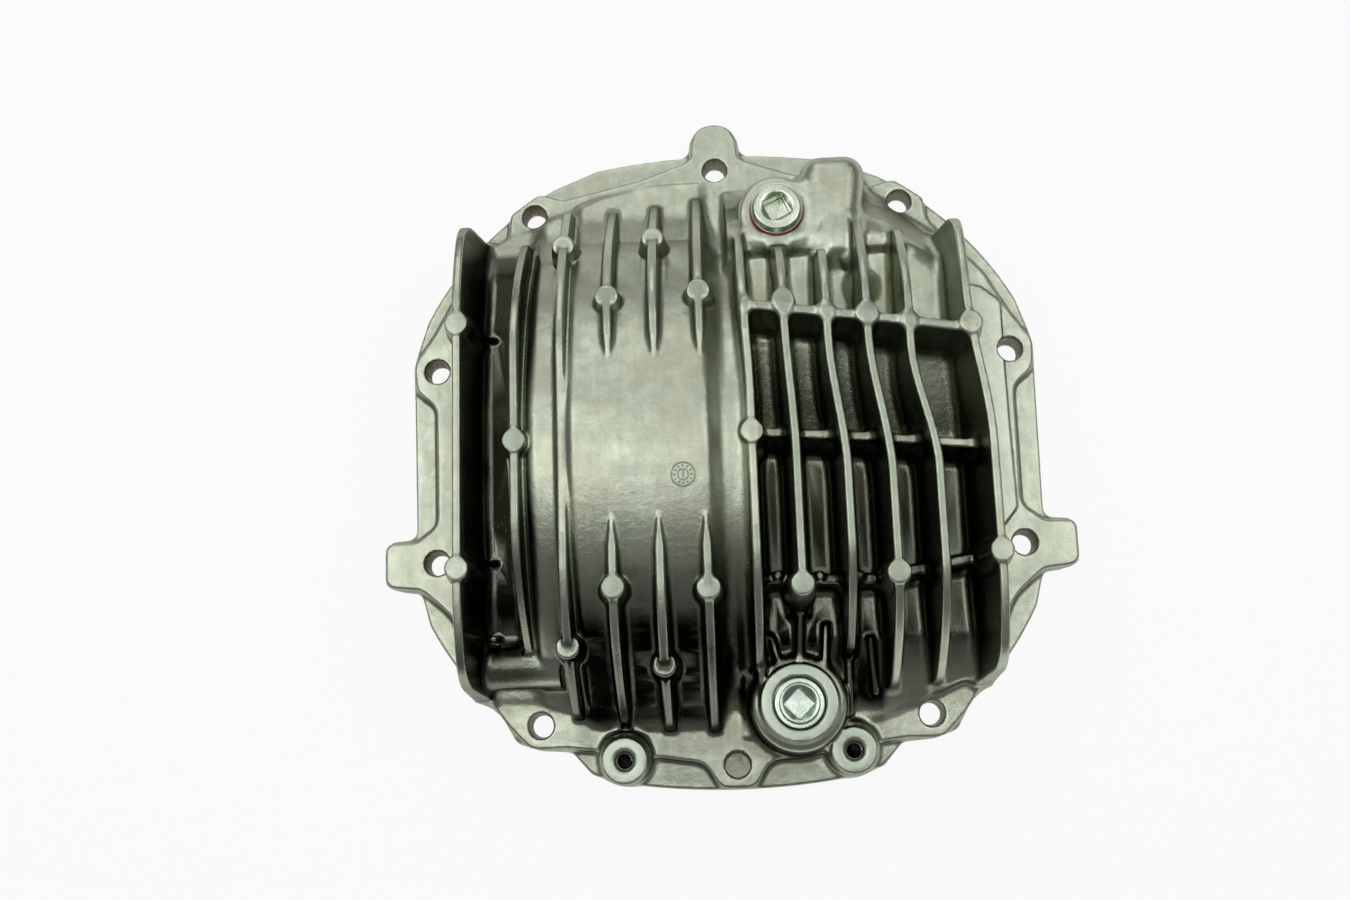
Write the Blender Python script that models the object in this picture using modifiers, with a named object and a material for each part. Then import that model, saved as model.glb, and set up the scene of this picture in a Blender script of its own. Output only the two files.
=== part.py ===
"""Finned differential cover: one hollow aluminium die casting for a ten-bolt rear axle.

The cover lies on its gasket face at z = 0 and its fins point up (+Z). +X is to the right and
+Y is the top of the cover as it is bolted on. Distances are in millimetres until MM scales
them. They are measured from the centre of the bolt pattern, which the datum empty places.
"""

import math

import bmesh
import bpy
from mathutils import Matrix, Vector

MM = 0.001

# Bolt pattern
BOLT_SIDE = (127.0, 43.0)
BOLT_DIAGONAL = (82.6, 113.9)
BOLT_TOP_Y = 132.6
BOLT_HOLE_TOP_R = 5.4
BOLT_HOLE_BOTTOM_R = 4.5
BOLT_BOSS_R = 10.4

# Flange
BODY_R = 148.3
BODY_SIDE_X = 138.3
BODY_TOP_Y = 141.4
BODY_BOTTOM_Y = -142.8
BODY_END_ARC_R = 310.0
RIM_THICKNESS = 7.5
BAND_HEIGHT = 12.0
TAB_TOP_Y = 155.8
TAB_HALF_WIDTH = 10.8
EAR_TIP_X = 150.8
EAR_TOP_Y = -32.4
EAR_BOTTOM_Y = -54.2
PATCH_HEIGHT = 13.2

# Housing, which clears the ring gear that turns about an axis along X
WALL = 6.0
GEAR_AXIS_Y = -3.0
DRUM_CREST = 74.0
DRUM_R = 125.0
DRUM_LEFT_X = -64.2
DRUM_RIGHT_X = -5.0
STEP_DROP = 6.0
STEP_LEFT_X = -85.6
STEP_RIGHT_X = 9.0
SHOULDER = 6.0
INNER_SHOULDER = 2.0
DRUM_SIDE_SHARE = 0.6
GROOVE_CREST = 34.0
HOUSING_LEFT_X = -110.5
HOUSING_UPPER_X = 101.8
HOUSING_LOWER_X = 108.4
UPPER_FLOOR = 41.0
LOWER_FLOOR = 26.0

MOUTH_DEPTH = BAND_HEIGHT - WALL

# Fins
TIP = 71.0
TIP_WIDTH = 3.6
TIP_CHAMFER = 0.7
DRAFT = math.radians(1.6)
PLATE_DRAFT = math.radians(4.5)
END_DRAFT = math.radians(6)
PAD_R = 4.9
PAD_RISE = 0.4
RIB_WIDTH = 4.0
WEB_WIDTH = 3.4

# Bosses, plugs and threads
FILL = (25.8, 99.6)
FILL_FACE = 44.0
FILL_BOSS_R = 16.8
FILL_HEAD_R = 11.2
FILL_HEAD_HEIGHT = 3.8
FILL_SHANK_R = 8.9
FILL_SHANK_LENGTH = 13.0
FILL_SEAL_HEIGHT = 1.6
FILL_SEAL_PROUD = 0.5
DRAIN = (26.2, -108.5)
DRAIN_FACE = 34.0
DRAIN_BOSS_R = 15.9
DRAIN_SINK_R = 11.3
DRAIN_PLUG_R = 10.4
DRAIN_PLUG_LENGTH = 14.0
DRAIN_PLUG_SUNK = 1.0
DRAIN_CUP_R = 7.1
DRAIN_CUP_DEPTH = 1.2
MAGNET_R = 5.0
MAGNET_LENGTH = 6.0
BREATHER = (51.2, 114.5)
BREATHER_R = 12.5
BREATHER_AXIS_Z = 33.0
TUBE_AXIS = (-88.7, 21.5)
TUBE_R = 10.0
SQUARE_DRIVE = 9.525
SQUARE_DEPTH = 7.5
SQUARE_TURN_FILL = math.radians(25)
SQUARE_TURN_DRAIN = math.radians(45)
TAPPED = ((-46.8, -129.5), (48.3, -128.1))
TAPPED_FACE = 23.0
TAPPED_BOSS_R = 9.6
TAPPED_HOLE_R = 3.4
TAPPED_HOLE_FLOOR = 5.0
CLEARANCE = 0.3
FLOOR_BOSS = (61.0, 67.5)
FLOOR_BOSS_R = 8.7
FLOOR_BUMP = (55.5, 76.0)
GROOVE_BUMP = (-79.0, 2.8)
RIB_KNOBS = ((19.3, -57.4), (36.2, -58.2), (52.3, -58.4))
PLATE_KNOB_Y = (50.5, -46.7, -78.0)

# The part's origin is under the middle of its box
DATUM_Y = -(TAB_TOP_Y + BODY_BOTTOM_Y) / 2
FORM_BASE = 4.0
OVERSHOOT = 5.0


def clear_scene():
    for old in list(bpy.data.objects):
        bpy.data.objects.remove(old, do_unlink=True)


def new_collection(name, parent=None):
    made = bpy.data.collections.new(name)
    (parent or bpy.context.scene.collection).children.link(made)
    return made


def material(name, colour, roughness, metallic):
    made = bpy.data.materials.new(name)
    made.use_nodes = True
    shader = made.node_tree.nodes["Principled BSDF"]
    shader.inputs["Base Color"].default_value = (*colour, 1)
    shader.inputs["Roughness"].default_value = roughness
    shader.inputs["Metallic"].default_value = metallic
    return made


def place(obj, collection, location=(0, 0, 0)):
    """Links obj to a collection and hangs it on the datum, at a location in millimetres."""
    collection.objects.link(obj)
    obj.parent = DATUM
    obj.location = Vector(location) * MM
    if collection.name.startswith("helper"):
        obj.hide_render = True
        obj.display_type = "WIRE"
    return obj


def mesh_object(name, builder, collection, location=(0, 0, 0)):
    mesh = bpy.data.meshes.new(name)
    bmesh.ops.recalc_face_normals(builder, faces=builder.faces[:])
    builder.to_mesh(mesh)
    builder.free()
    return place(bpy.data.objects.new(name, mesh), collection, location)


def arc(centre, radius, start, end, steps):
    """Points on a circle from one angle in degrees to another."""
    angles = [math.radians(start + (end - start) * i / steps) for i in range(steps + 1)]
    return [(centre[0] + radius * math.cos(a), centre[1] + radius * math.sin(a)) for a in angles]


def rounded(points, steps=4):
    """Replaces each corner (x, y, radius) of a closed outline by an arc tangent to its sides."""
    result = []
    for i, point in enumerate(points):
        if len(point) == 2:
            result.append(point)
            continue
        corner = Vector(point[:2])
        before = (Vector(points[i - 1][:2]) - corner).normalized()
        after = (Vector(points[(i + 1) % len(points)][:2]) - corner).normalized()
        half = before.angle(after) / 2
        reach = point[2] / math.tan(half)
        centre = corner + (before + after).normalized() * point[2] / math.sin(half)
        first = corner + before * reach - centre
        turn = first.angle_signed(corner + after * reach - centre)
        for k in range(steps + 1):
            result.append(tuple(centre + Matrix.Rotation(-turn * k / steps, 2) @ first))
    return result


def extruded(name, outline, low, high, collection, matrix=None):
    """A flat outline with thickness, from low to high along its own Z, made a welded mesh."""
    curve = bpy.data.curves.new(name, "CURVE")
    curve.dimensions = "2D"
    curve.fill_mode = "BOTH"
    curve.extrude = (high - low) / 2 * MM
    spline = curve.splines.new("POLY")
    spline.points.add(len(outline) - 1)
    for point, (x, y) in zip(spline.points, outline):
        point.co = (x * MM, y * MM, 0, 1)
    spline.use_cyclic_u = True
    drawn = bpy.data.objects.new(name + "_outline", curve)
    bpy.context.scene.collection.objects.link(drawn)
    graph = bpy.context.evaluated_depsgraph_get()
    mesh = bpy.data.meshes.new_from_object(drawn.evaluated_get(graph))
    bpy.data.objects.remove(drawn)
    builder = bmesh.new()
    builder.from_mesh(mesh)
    bpy.data.meshes.remove(mesh)
    bmesh.ops.remove_doubles(builder, verts=builder.verts[:], dist=1e-6)
    bmesh.ops.dissolve_limit(builder, angle_limit=0.001, verts=builder.verts[:], edges=builder.edges[:])
    shift = Matrix.Translation((0, 0, (low + high) / 2 * MM))
    bmesh.ops.transform(builder, matrix=(matrix or Matrix()) @ shift, verts=builder.verts[:])
    return mesh_object(name, builder, collection)


ALONG_X = Matrix(((0, 0, 1, 0), (1, 0, 0, 0), (0, 1, 0, 0), (0, 0, 0, 1)))


def side_profile(name, outline, left, right, collection):
    """An outline drawn in Y and Z, extruded from x = left to x = right."""
    return extruded(name, outline, left, right, collection, ALONG_X)


def bevelled(obj, width, segments=3, angle=50):
    bevel = obj.modifiers.new("rounded edges", "BEVEL")
    bevel.width = width * MM
    bevel.segments = segments
    bevel.limit_method = "ANGLE"
    bevel.angle_limit = math.radians(angle)
    return obj


def loft(name, sections, collection):
    """A closed body through sections that have the same number of points."""
    builder = bmesh.new()
    rings = [[builder.verts.new(Vector(p) * MM) for p in section] for section in sections]
    for ring, following in zip(rings, rings[1:]):
        for i in range(len(ring)):
            j = (i + 1) % len(ring)
            builder.faces.new((ring[i], ring[j], following[j], following[i]))
    builder.faces.new(rings[0])
    builder.faces.new(rings[-1])
    return mesh_object(name, builder, collection)


def tapered(name, centre, low, high, low_r, high_r, collection, segments=24, turn=0.0):
    """An upright cone or cylinder between two heights."""
    builder = bmesh.new()
    place_at = Matrix.Translation(Vector((0, 0, (low + high) / 2)) * MM) @ Matrix.Rotation(turn, 4, "Z")
    bmesh.ops.create_cone(
        builder,
        cap_ends=True,
        segments=segments,
        radius1=low_r * MM,
        radius2=high_r * MM,
        depth=(high - low) * MM,
        matrix=place_at,
    )
    return mesh_object(name, builder, collection, (*centre, 0))


def turned(name, profile, centre, collection, steps=32):
    """A profile of (radius, height) points, from the top down its outer side, turned about Z."""
    mesh = bpy.data.meshes.new(name)
    mesh.from_pydata([(r * MM, 0, z * MM) for r, z in profile], [(i, i + 1) for i in range(len(profile) - 1)], [])
    obj = place(bpy.data.objects.new(name, mesh), collection, (*centre, 0))
    screw = obj.modifiers.new("turned", "SCREW")
    screw.steps = steps
    screw.render_steps = steps
    screw.use_merge_vertices = True
    screw.merge_threshold = 0.00001
    return obj


def boolean(obj, operation, target):
    """Cuts or joins an object, or all the objects of a collection."""
    step = obj.modifiers.new(operation.lower(), "BOOLEAN")
    step.operation = operation
    step.solver = "EXACT"
    if isinstance(target, bpy.types.Collection):
        step.operand_type = "COLLECTION"
        step.collection = target
    else:
        step.object = target
    return obj


def smooth_step(value):
    value = min(max(value, 0), 1)
    return value * value * (3 - 2 * value)


def mirrored(half):
    """The right half of an outline, from top to bottom, and its mirror image back up."""
    left = [(-p[0], *p[1:]) for p in reversed(half) if abs(p[0]) > 1e-6]
    return rounded(half + left)


def flange_outline():
    """The rim: near-round body, top tab, side ears and the scallops under the lower bolts."""
    bolt_x, bolt_y = BOLT_DIAGONAL
    top = arc((0, BODY_TOP_Y - BODY_END_ARC_R), BODY_END_ARC_R, 86.9, 80, 3)
    bottom = arc((0, BODY_BOTTOM_Y + BODY_END_ARC_R), BODY_END_ARC_R, -80.6, -90, 4)
    upper_corner = arc((0, 0), BODY_R, 60, 27, 6)
    lower_corner = arc((0, 0), BODY_R, -28, -48, 4)
    return mirrored([
        (TAB_HALF_WIDTH, TAB_TOP_Y, TAB_HALF_WIDTH - 0.4),
        (TAB_HALF_WIDTH + 0.7, BODY_TOP_Y - 0.6, 5),
        *top,
        *upper_corner,
        (BODY_SIDE_X, 48, 30),
        (BODY_SIDE_X - 1.5, EAR_TOP_Y + 1, 4),
        (EAR_TIP_X - 3, EAR_TOP_Y, 3),
        (EAR_TIP_X, EAR_TOP_Y - 5, 3),
        (EAR_TIP_X - 0.4, EAR_BOTTOM_Y + 2, 4),
        (EAR_TIP_X - 8, EAR_BOTTOM_Y, 5),
        (BODY_SIDE_X - 3.5, EAR_BOTTOM_Y - 1, 5),
        *lower_corner,
        (bolt_x + 11, -bolt_y - 7, 6),
        (bolt_x, -bolt_y - BOLT_BOSS_R, 6),
        (bolt_x - 12.5, -bolt_y - BOLT_BOSS_R - 1, 5),
        (bolt_x - 21, -bolt_y - 21, 6),
        *bottom,
    ])


def band_outline():
    """The raised band that joins the bolt bosses, tab and ears, set in from the rim."""
    side_x, side_y = BOLT_SIDE
    bolt_x, bolt_y = BOLT_DIAGONAL
    return mirrored([
        (TAB_HALF_WIDTH - 0.8, TAB_TOP_Y - 0.8, TAB_HALF_WIDTH - 1.2),
        (TAB_HALF_WIDTH, 138, 5),
        (34, 129.6, 40),
        (bolt_x - 13, bolt_y + 7.5, 8),
        (bolt_x - 1, bolt_y + BOLT_BOSS_R + 1, 9),
        (bolt_x + 11, bolt_y + 3, 9),
        (bolt_x + 12, bolt_y - 9, 8),
        (117.5, 80, 25),
        (side_x + 1.5, side_y + 17, 12),
        (side_x + 10.6, side_y + 4, 9),
        (side_x + 9.5, side_y - 9, 9),
        (side_x + 0.6, side_y - 16, 8),
        (side_x, EAR_TOP_Y + 6, 7),
        (side_x + 9, EAR_TOP_Y - 1, 7),
        (EAR_TIP_X - 1, EAR_TOP_Y - 1, 4),
        (EAR_TIP_X - 1, EAR_BOTTOM_Y + 1, 5),
        (side_x + 7, EAR_BOTTOM_Y - 0.5, 8),
        (121, -66, 20),
        (bolt_x + 24, -bolt_y + 14, 12),
        (bolt_x + 14, -bolt_y + 0, 9),
        (bolt_x + 4, -bolt_y - BOLT_BOSS_R, 9),
        (bolt_x - 10, -bolt_y - BOLT_BOSS_R + 0.6, 8),
        (44, -127, 20),
        (14, -131.5, 8),
        (7.2, -BOLT_TOP_Y - BOLT_BOSS_R + 0.6, 7),
    ])


def housing_outline():
    """The plan of the hollow housing where it meets the band."""
    return rounded([
        (HOUSING_LEFT_X, 101, 6),
        (-98, 102, 10),
        (-71, 110, 12),
        (-35, 120.5, 40),
        (12, 122.5),
        (62, 119, 8),
        (72, 106, 10),
        (97, 92, 5),
        (HOUSING_UPPER_X, 91.5, 3),
        (HOUSING_UPPER_X, 50, 40),
        (HOUSING_LOWER_X, -10, 40),
        (HOUSING_LOWER_X, -101.5, 6),
        (96, -101, 8),
        (68, -113, 12),
        (40, -121.5, 12),
        (-20, -123.5),
        (-58, -116, 20),
        (-81, -103.5, 12),
        (HOUSING_LEFT_X, -102.5, 6),
    ])


def opening_outline():
    """The mouth of the housing in the gasket face, inside the bolts and the fins' feet."""
    return rounded([
        (HOUSING_LEFT_X + WALL + 2, 88, 14),
        (-66, 104, 12),
        (-34, 112, 30),
        (60, 112, 14),
        (HOUSING_UPPER_X - WALL, 78, 14),
        (HOUSING_UPPER_X - WALL, 46, 30),
        (HOUSING_LOWER_X - WALL, -14, 30),
        (HOUSING_LOWER_X - WALL, -86, 14),
        (64, -105, 14),
        (30, -113, 12),
        (-36, -114, 30),
        (-70, -100, 12),
        (HOUSING_LEFT_X + WALL + 2, -88, 14),
    ])


def drum_profile(drop, feet):
    """The drum seen from its end: the arc that clears the gear, with sloping feet."""
    radius = DRUM_R - drop
    centre_z = DRUM_CREST - DRUM_R
    foot_z = BAND_HEIGHT - feet
    reach = math.degrees(math.acos((foot_z + 15 - centre_z) / radius))
    crown = arc((GEAR_AXIS_Y, centre_z), radius, 90 - reach, 90 + reach, 22)
    top_y = crown[0][0]
    bottom_y = crown[-1][0]
    base = -OVERSHOOT if feet else FORM_BASE
    return [
        (bottom_y - 15, base),
        (top_y + 28, base),
        (top_y + 28, foot_z),
        (top_y + 12, foot_z + 5.5),
        *crown,
        (bottom_y - 7, foot_z + 5.5),
        (bottom_y - 15, foot_z),
    ]


def floor_profile(feet):
    """The low floor right of the drum: a shelf above the main cross rib, then a deeper floor."""
    base = -OVERSHOOT if feet else FORM_BASE
    low = BAND_HEIGHT - feet
    return [
        (-121 + feet, base),
        (121 - feet, base),
        (121 - feet, low),
        (111 - feet, low + 7),
        (97 - feet, UPPER_FLOOR - 2 - feet),
        (86 - feet, UPPER_FLOOR + 2 - feet),
        (79 - feet / 2, UPPER_FLOOR - feet),
        (40 - feet / 2, UPPER_FLOOR - feet),
        (22, (UPPER_FLOOR + LOWER_FLOOR) / 2 - feet),
        (2, LOWER_FLOOR + 1 - feet),
        (-30, LOWER_FLOOR - feet),
        (-82 + feet / 2, LOWER_FLOOR - feet),
        (-104 + feet, low + 4),
        (-112 + feet, low),
        (-121 + feet, low),
    ]


def throat_profile():
    """The hollow under the step's right edge, which joins the hollows on its two sides."""
    upper = UPPER_FLOOR - WALL - 1
    lower = LOWER_FLOOR - WALL - 1
    return [
        (-97, -OVERSHOOT),
        (97, -OVERSHOOT),
        (97, MOUTH_DEPTH),
        (84, lower),
        (72, upper - 8),
        (45, upper),
        (22, (upper + lower) / 2),
        (2, lower),
        (-72, lower),
        (-88, lower - 7),
        (-97, MOUTH_DEPTH),
    ]


def groove_profile(feet):
    """The floor of the groove left of the drum."""
    base = -OVERSHOOT if feet else FORM_BASE
    low = BAND_HEIGHT - feet
    crest = GROOVE_CREST - feet
    return [
        (-108 + feet, base),
        (106 - feet, base),
        (106 - feet, low),
        (98 - feet, low),
        (82 - feet, crest - 12),
        (56 - feet / 2, crest - 4),
        (20, crest),
        (-30, crest),
        (-62 + feet / 2, crest - 5),
        (-84 + feet, crest - 13),
        (-99 + feet, low),
        (-108 + feet, low),
    ]


def housing_forms(inset, collection):
    """The drum, its two steps and the floors on both sides; inset gives the hollow inside."""
    kind = "hollow" if inset else "housing"
    fillet = INNER_SHOULDER if inset else SHOULDER
    drum_left = DRUM_LEFT_X + inset * DRUM_SIDE_SHARE
    drum_right = DRUM_RIGHT_X - inset * DRUM_SIDE_SHARE
    bevelled(side_profile(f"{kind}_drum", drum_profile(inset, inset), drum_left, drum_right, collection), fillet)
    step_left = STEP_LEFT_X + inset
    step_right = STEP_RIGHT_X - inset
    steps = side_profile(
        f"{kind}_steps", drum_profile(STEP_DROP + inset, inset), step_left, step_right, collection
    )
    bevelled(steps, fillet * 0.6, 2)
    groove_left = HOUSING_LEFT_X + inset
    side_profile(f"{kind}_groove_floor", groove_profile(inset), groove_left, step_left + OVERSHOOT, collection)
    floor_left = STEP_RIGHT_X - OVERSHOOT + inset
    floor_right = HOUSING_LOWER_X - inset
    side_profile(f"{kind}_right_floor", floor_profile(inset), floor_left, floor_right, collection)
    if inset:
        mouth = rounded([(-120, -125), (120, -125), (120, 125), (-120, 125)])
        extruded("hollow_mouth", mouth, -OVERSHOOT, MOUTH_DEPTH, collection)
        side_profile("hollow_throat", throat_profile(), step_right - OVERSHOOT, floor_left + OVERSHOOT, collection)


def tip_height(y, upper, lower):
    """A fin's tip is level between its two flats and falls away in a parabola past them."""
    flat, end = upper if y > 0 else lower
    share = max(0, abs(y) - flat) / (end - flat)
    return TIP - (TIP - BAND_HEIGHT) * share * share


def fin_x(y, x_upper, x_lower, bend):
    """The fins on the right bend outward between two heights of the cover."""
    share = smooth_step((bend[0] - y) / (bend[0] - bend[1]))
    return x_upper + (x_lower - x_upper) * share


def wall_section(x, y, across, top, half_width, drafts=(DRAFT, DRAFT)):
    """Six points across a wall whose sides spread towards its foot; across is a unit vector."""
    height = top - FORM_BASE
    shape = (
        (-half_width - height * math.tan(drafts[0]), FORM_BASE),
        (half_width + height * math.tan(drafts[1]), FORM_BASE),
        (half_width, top - TIP_CHAMFER),
        (half_width - TIP_CHAMFER, top),
        (-half_width + TIP_CHAMFER, top),
        (-half_width, top - TIP_CHAMFER),
    )
    return [(x + across[0] * s, y + across[1] * s, z) for s, z in shape]


# Each fin: name, x above the bend, x below it, y of its two ends, for its upper and lower half
# the y where its tip starts to fall and the y where it would reach the band, and its bend
STRAIGHT = (40, -20)
FINS = (
    ("outer_left", -107.9, -107.9, 101.0, -103.0, (50, 139), (55, 145), STRAIGHT),
    ("groove", -84.8, -84.8, 97.0, -99.0, (32, 106), (30, 97), STRAIGHT),
    ("drum_left", -65.9, -65.9, 112.0, -112.0, (30, 122), (50, 120), STRAIGHT),
    ("drum_inner_left", -46.4, -46.4, 112.0, -117.0, (40, 108), (60, 118), STRAIGHT),
    ("drum_inner_right", -27.6, -27.6, 115.0, -118.0, (48, 118), (60, 124), STRAIGHT),
    ("drum_right", -8.9, -8.9, 118.0, -119.0, (42, 121), (50, 122), STRAIGHT),
    ("step_edge", 8.8, 10.6, 92.0, -96.0, (45, 112), (45, 110), (70, 10)),
    ("middle_left", 25.4, 27.9, 85.5, -74.0, (52, 105), (60, 140), (50, -14)),
    ("middle", 42.8, 47.9, 82.0, -91.0, (52, 108), (45, 102), (38, -20)),
    ("middle_right", 59.0, 65.6, 104.0, -104.0, (50, 118), (58, 112), (38, -22)),
    ("inner_right", 75.8, 84.0, 92.0, -103.0, (48, 112), (55, 112), (32, -20)),
    ("outer_right", 99.4, 106.0, 94.5, -102.5, (50, 139), (55, 145), (56, -10)),
)

# Ejector pads: the fin that each sits on, and its y
PADS = (
    ("outer_left", 47.3), ("outer_left", -52.9), ("groove", -2.3), ("drum_left", 86.2), ("drum_left", -84.2),
    ("drum_inner_left", 56.8), ("drum_inner_left", -62.6), ("drum_inner_right", 86.5),
    ("drum_inner_right", -92.5), ("drum_right", 57.8), ("drum_right", -63.7), ("step_edge", -2.1),
    ("middle_left", 51.7), ("middle_left", -63.6), ("middle_right", 44.8), ("middle_right", -60.3),
    ("outer_right", 39.2), ("outer_right", -53.2),
)


def plate_drafts(name):
    """The two outer plates lean more on the side that faces the other fins."""
    return {"outer_left": (DRAFT, PLATE_DRAFT), "outer_right": (PLATE_DRAFT, DRAFT)}.get(name, (DRAFT, DRAFT))


def add_fins(collection):
    by_name = {}
    stations = 14
    low = BAND_HEIGHT + 1
    for name, x_upper, x_lower, top_y, bottom_y, upper, lower, bend in FINS:
        by_name[name] = (x_upper, x_lower, upper, lower, bend)
        lean_top = (tip_height(top_y, upper, lower) - low) * math.tan(END_DRAFT)
        lean_bottom = (tip_height(bottom_y, upper, lower) - low) * math.tan(END_DRAFT)
        first = top_y - max(lean_top, 0.5)
        last = bottom_y + max(lean_bottom, 0.5)
        path = [(top_y, low)]
        for i in range(stations + 1):
            y = first + (last - first) * i / stations
            path.append((y, max(tip_height(y, upper, lower), low)))
        path.append((bottom_y, low))
        sections = []
        for y, top in path:
            x = fin_x(y, x_upper, x_lower, bend)
            sections.append(wall_section(x, y, (1, 0), top, TIP_WIDTH / 2, plate_drafts(name)))
        loft(f"fin_{name}", sections, collection)
    for number, (name, y) in enumerate(PADS):
        x_upper, x_lower, upper, lower, bend = by_name[name]
        x = fin_x(y, x_upper, x_lower, bend)
        top = tip_height(y, upper, lower) + PAD_RISE
        spread = (top - FORM_BASE) * math.tan(DRAFT) / 2
        tapered(f"pad_{number}", (x, y), FORM_BASE, top, PAD_R + spread, PAD_R, collection, 14)


def add_wall(name, path, collection, width):
    """A straight-sided rib through (x, y, top) points."""
    sections = []
    for i, (x, y, top) in enumerate(path):
        before = Vector(path[max(i - 1, 0)][:2])
        after = Vector(path[min(i + 1, len(path) - 1)][:2])
        along = (after - before).normalized()
        sections.append(wall_section(x, y, (-along.y, along.x), top, width / 2))
    return loft(name, sections, collection)


# Low webs round the drain boss, as (x, y, top) at their two ends
DRAIN_WEBS = (
    ((10.8, -88, 38), (12.0, -114, 24)),
    ((15.5, -78, 30), (19.0, -96, 30)),
    ((28.0, -72, 40), (27.5, -96, 34)),
    ((39.0, -74, 30), (38.0, -96, 30)),
    ((48.0, -76, 30), (47.5, -114, 24)),
    ((57.2, -80, 30), (58.8, -107, 20)),
)


# Cross ribs from the step's edge to the right-hand plate, as (x, y, top) points
CROSS_RIBS = (
    ((9.5, 50.8, 70.5), (60, 43.5, 70.5), (99, 37.3, 70.5)),
    ((9.5, 1.2, 54), (60, -2.6, 53), (102, -7.0, 52)),
    ((9.5, -58.5, 46), (58, -60.0, 45), (104, -52.0, 43)),
)


def add_ribs(collection):
    for number, path in enumerate(CROSS_RIBS):
        add_wall(f"cross_rib_{number}", path, collection, RIB_WIDTH)
    for number, path in enumerate(DRAIN_WEBS):
        add_wall(f"drain_web_{number}", path, collection, WEB_WIDTH)
    for number, y in enumerate(PLATE_KNOB_Y):
        add_wall(f"plate_knob_{number}", [(-105, y, 60), (-101, y, 40), (-97, y, 30)], collection, WEB_WIDTH)
    knob_top = CROSS_RIBS[2][0][2] + 1
    for number, centre in enumerate(RIB_KNOBS):
        tapered(f"rib_knob_{number}", centre, FORM_BASE, knob_top, 3.2, 2.2, collection, 10)


def breather_section(y, share):
    """An arch with straight sides: the bulge's section at y, scaled by its share of full size."""
    radius = BREATHER_R * share
    crown = [(BREATHER[0] + x, y, z) for x, z in arc((0, BREATHER_AXIS_Z), radius, 0, 180, 10)]
    return [(BREATHER[0] + radius, y, FORM_BASE), *crown, (BREATHER[0] - radius, y, FORM_BASE)]


def add_bosses(collection):
    tapered("boss_fill", FILL, FORM_BASE, FILL_FACE, FILL_BOSS_R + 3, FILL_BOSS_R, collection, 32)
    drain_foot = DRAIN_FACE - 4
    tapered("boss_drain_foot", DRAIN, FORM_BASE, drain_foot, DRAIN_BOSS_R + 4, DRAIN_BOSS_R + 2, collection, 32)
    tapered("boss_drain", DRAIN, FORM_BASE, DRAIN_FACE, DRAIN_BOSS_R + 1.2, DRAIN_BOSS_R, collection, 32)
    for number, centre in enumerate(TAPPED):
        foot_top = TAPPED_FACE - 5
        foot_r = TAPPED_BOSS_R + 1.4
        tapered(f"boss_tapped_foot_{number}", centre, FORM_BASE, foot_top, foot_r + 0.8, foot_r, collection)
        low_r = TAPPED_BOSS_R + 0.6
        tapered(f"boss_tapped_{number}", centre, FORM_BASE, TAPPED_FACE, low_r, TAPPED_BOSS_R, collection)
    tapered("floor_boss", FLOOR_BOSS, FORM_BASE, UPPER_FLOOR + 4, FLOOR_BOSS_R + 0.7, FLOOR_BOSS_R, collection)
    tapered("floor_bump", FLOOR_BUMP, FORM_BASE, UPPER_FLOOR + 3, 3.4, 2.2, collection, 12)
    tapered("groove_bump", GROOVE_BUMP, FORM_BASE, DRUM_CREST - STEP_DROP - 4, 5.6, 3.6, collection, 14)
    # The breather passage stands as an arched bulge with a domed end.
    sections = [breather_section(64, 1), breather_section(BREATHER[1], 1)]
    for degrees in (30, 55, 75):
        angle = math.radians(degrees)
        sections.append(breather_section(BREATHER[1] + BREATHER_R * math.sin(angle), math.cos(angle)))
    loft("breather_bulge", sections, collection)
    ring = arc(TUBE_AXIS, TUBE_R, 0, 360, 20)[:-1]
    loft("cross_tube", [[(x, y, z) for y, z in ring] for x in (DRUM_LEFT_X, -106)], collection)
    patch = [(108, 74, 2), (116, 72, 3), (124.3, 65, 4), (124, 30, 3), (124.6, -28, 2), (118, -36, 2), (108, -36, 1)]
    extruded("machined_patch", rounded(patch), FORM_BASE, PATCH_HEIGHT, collection)


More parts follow.
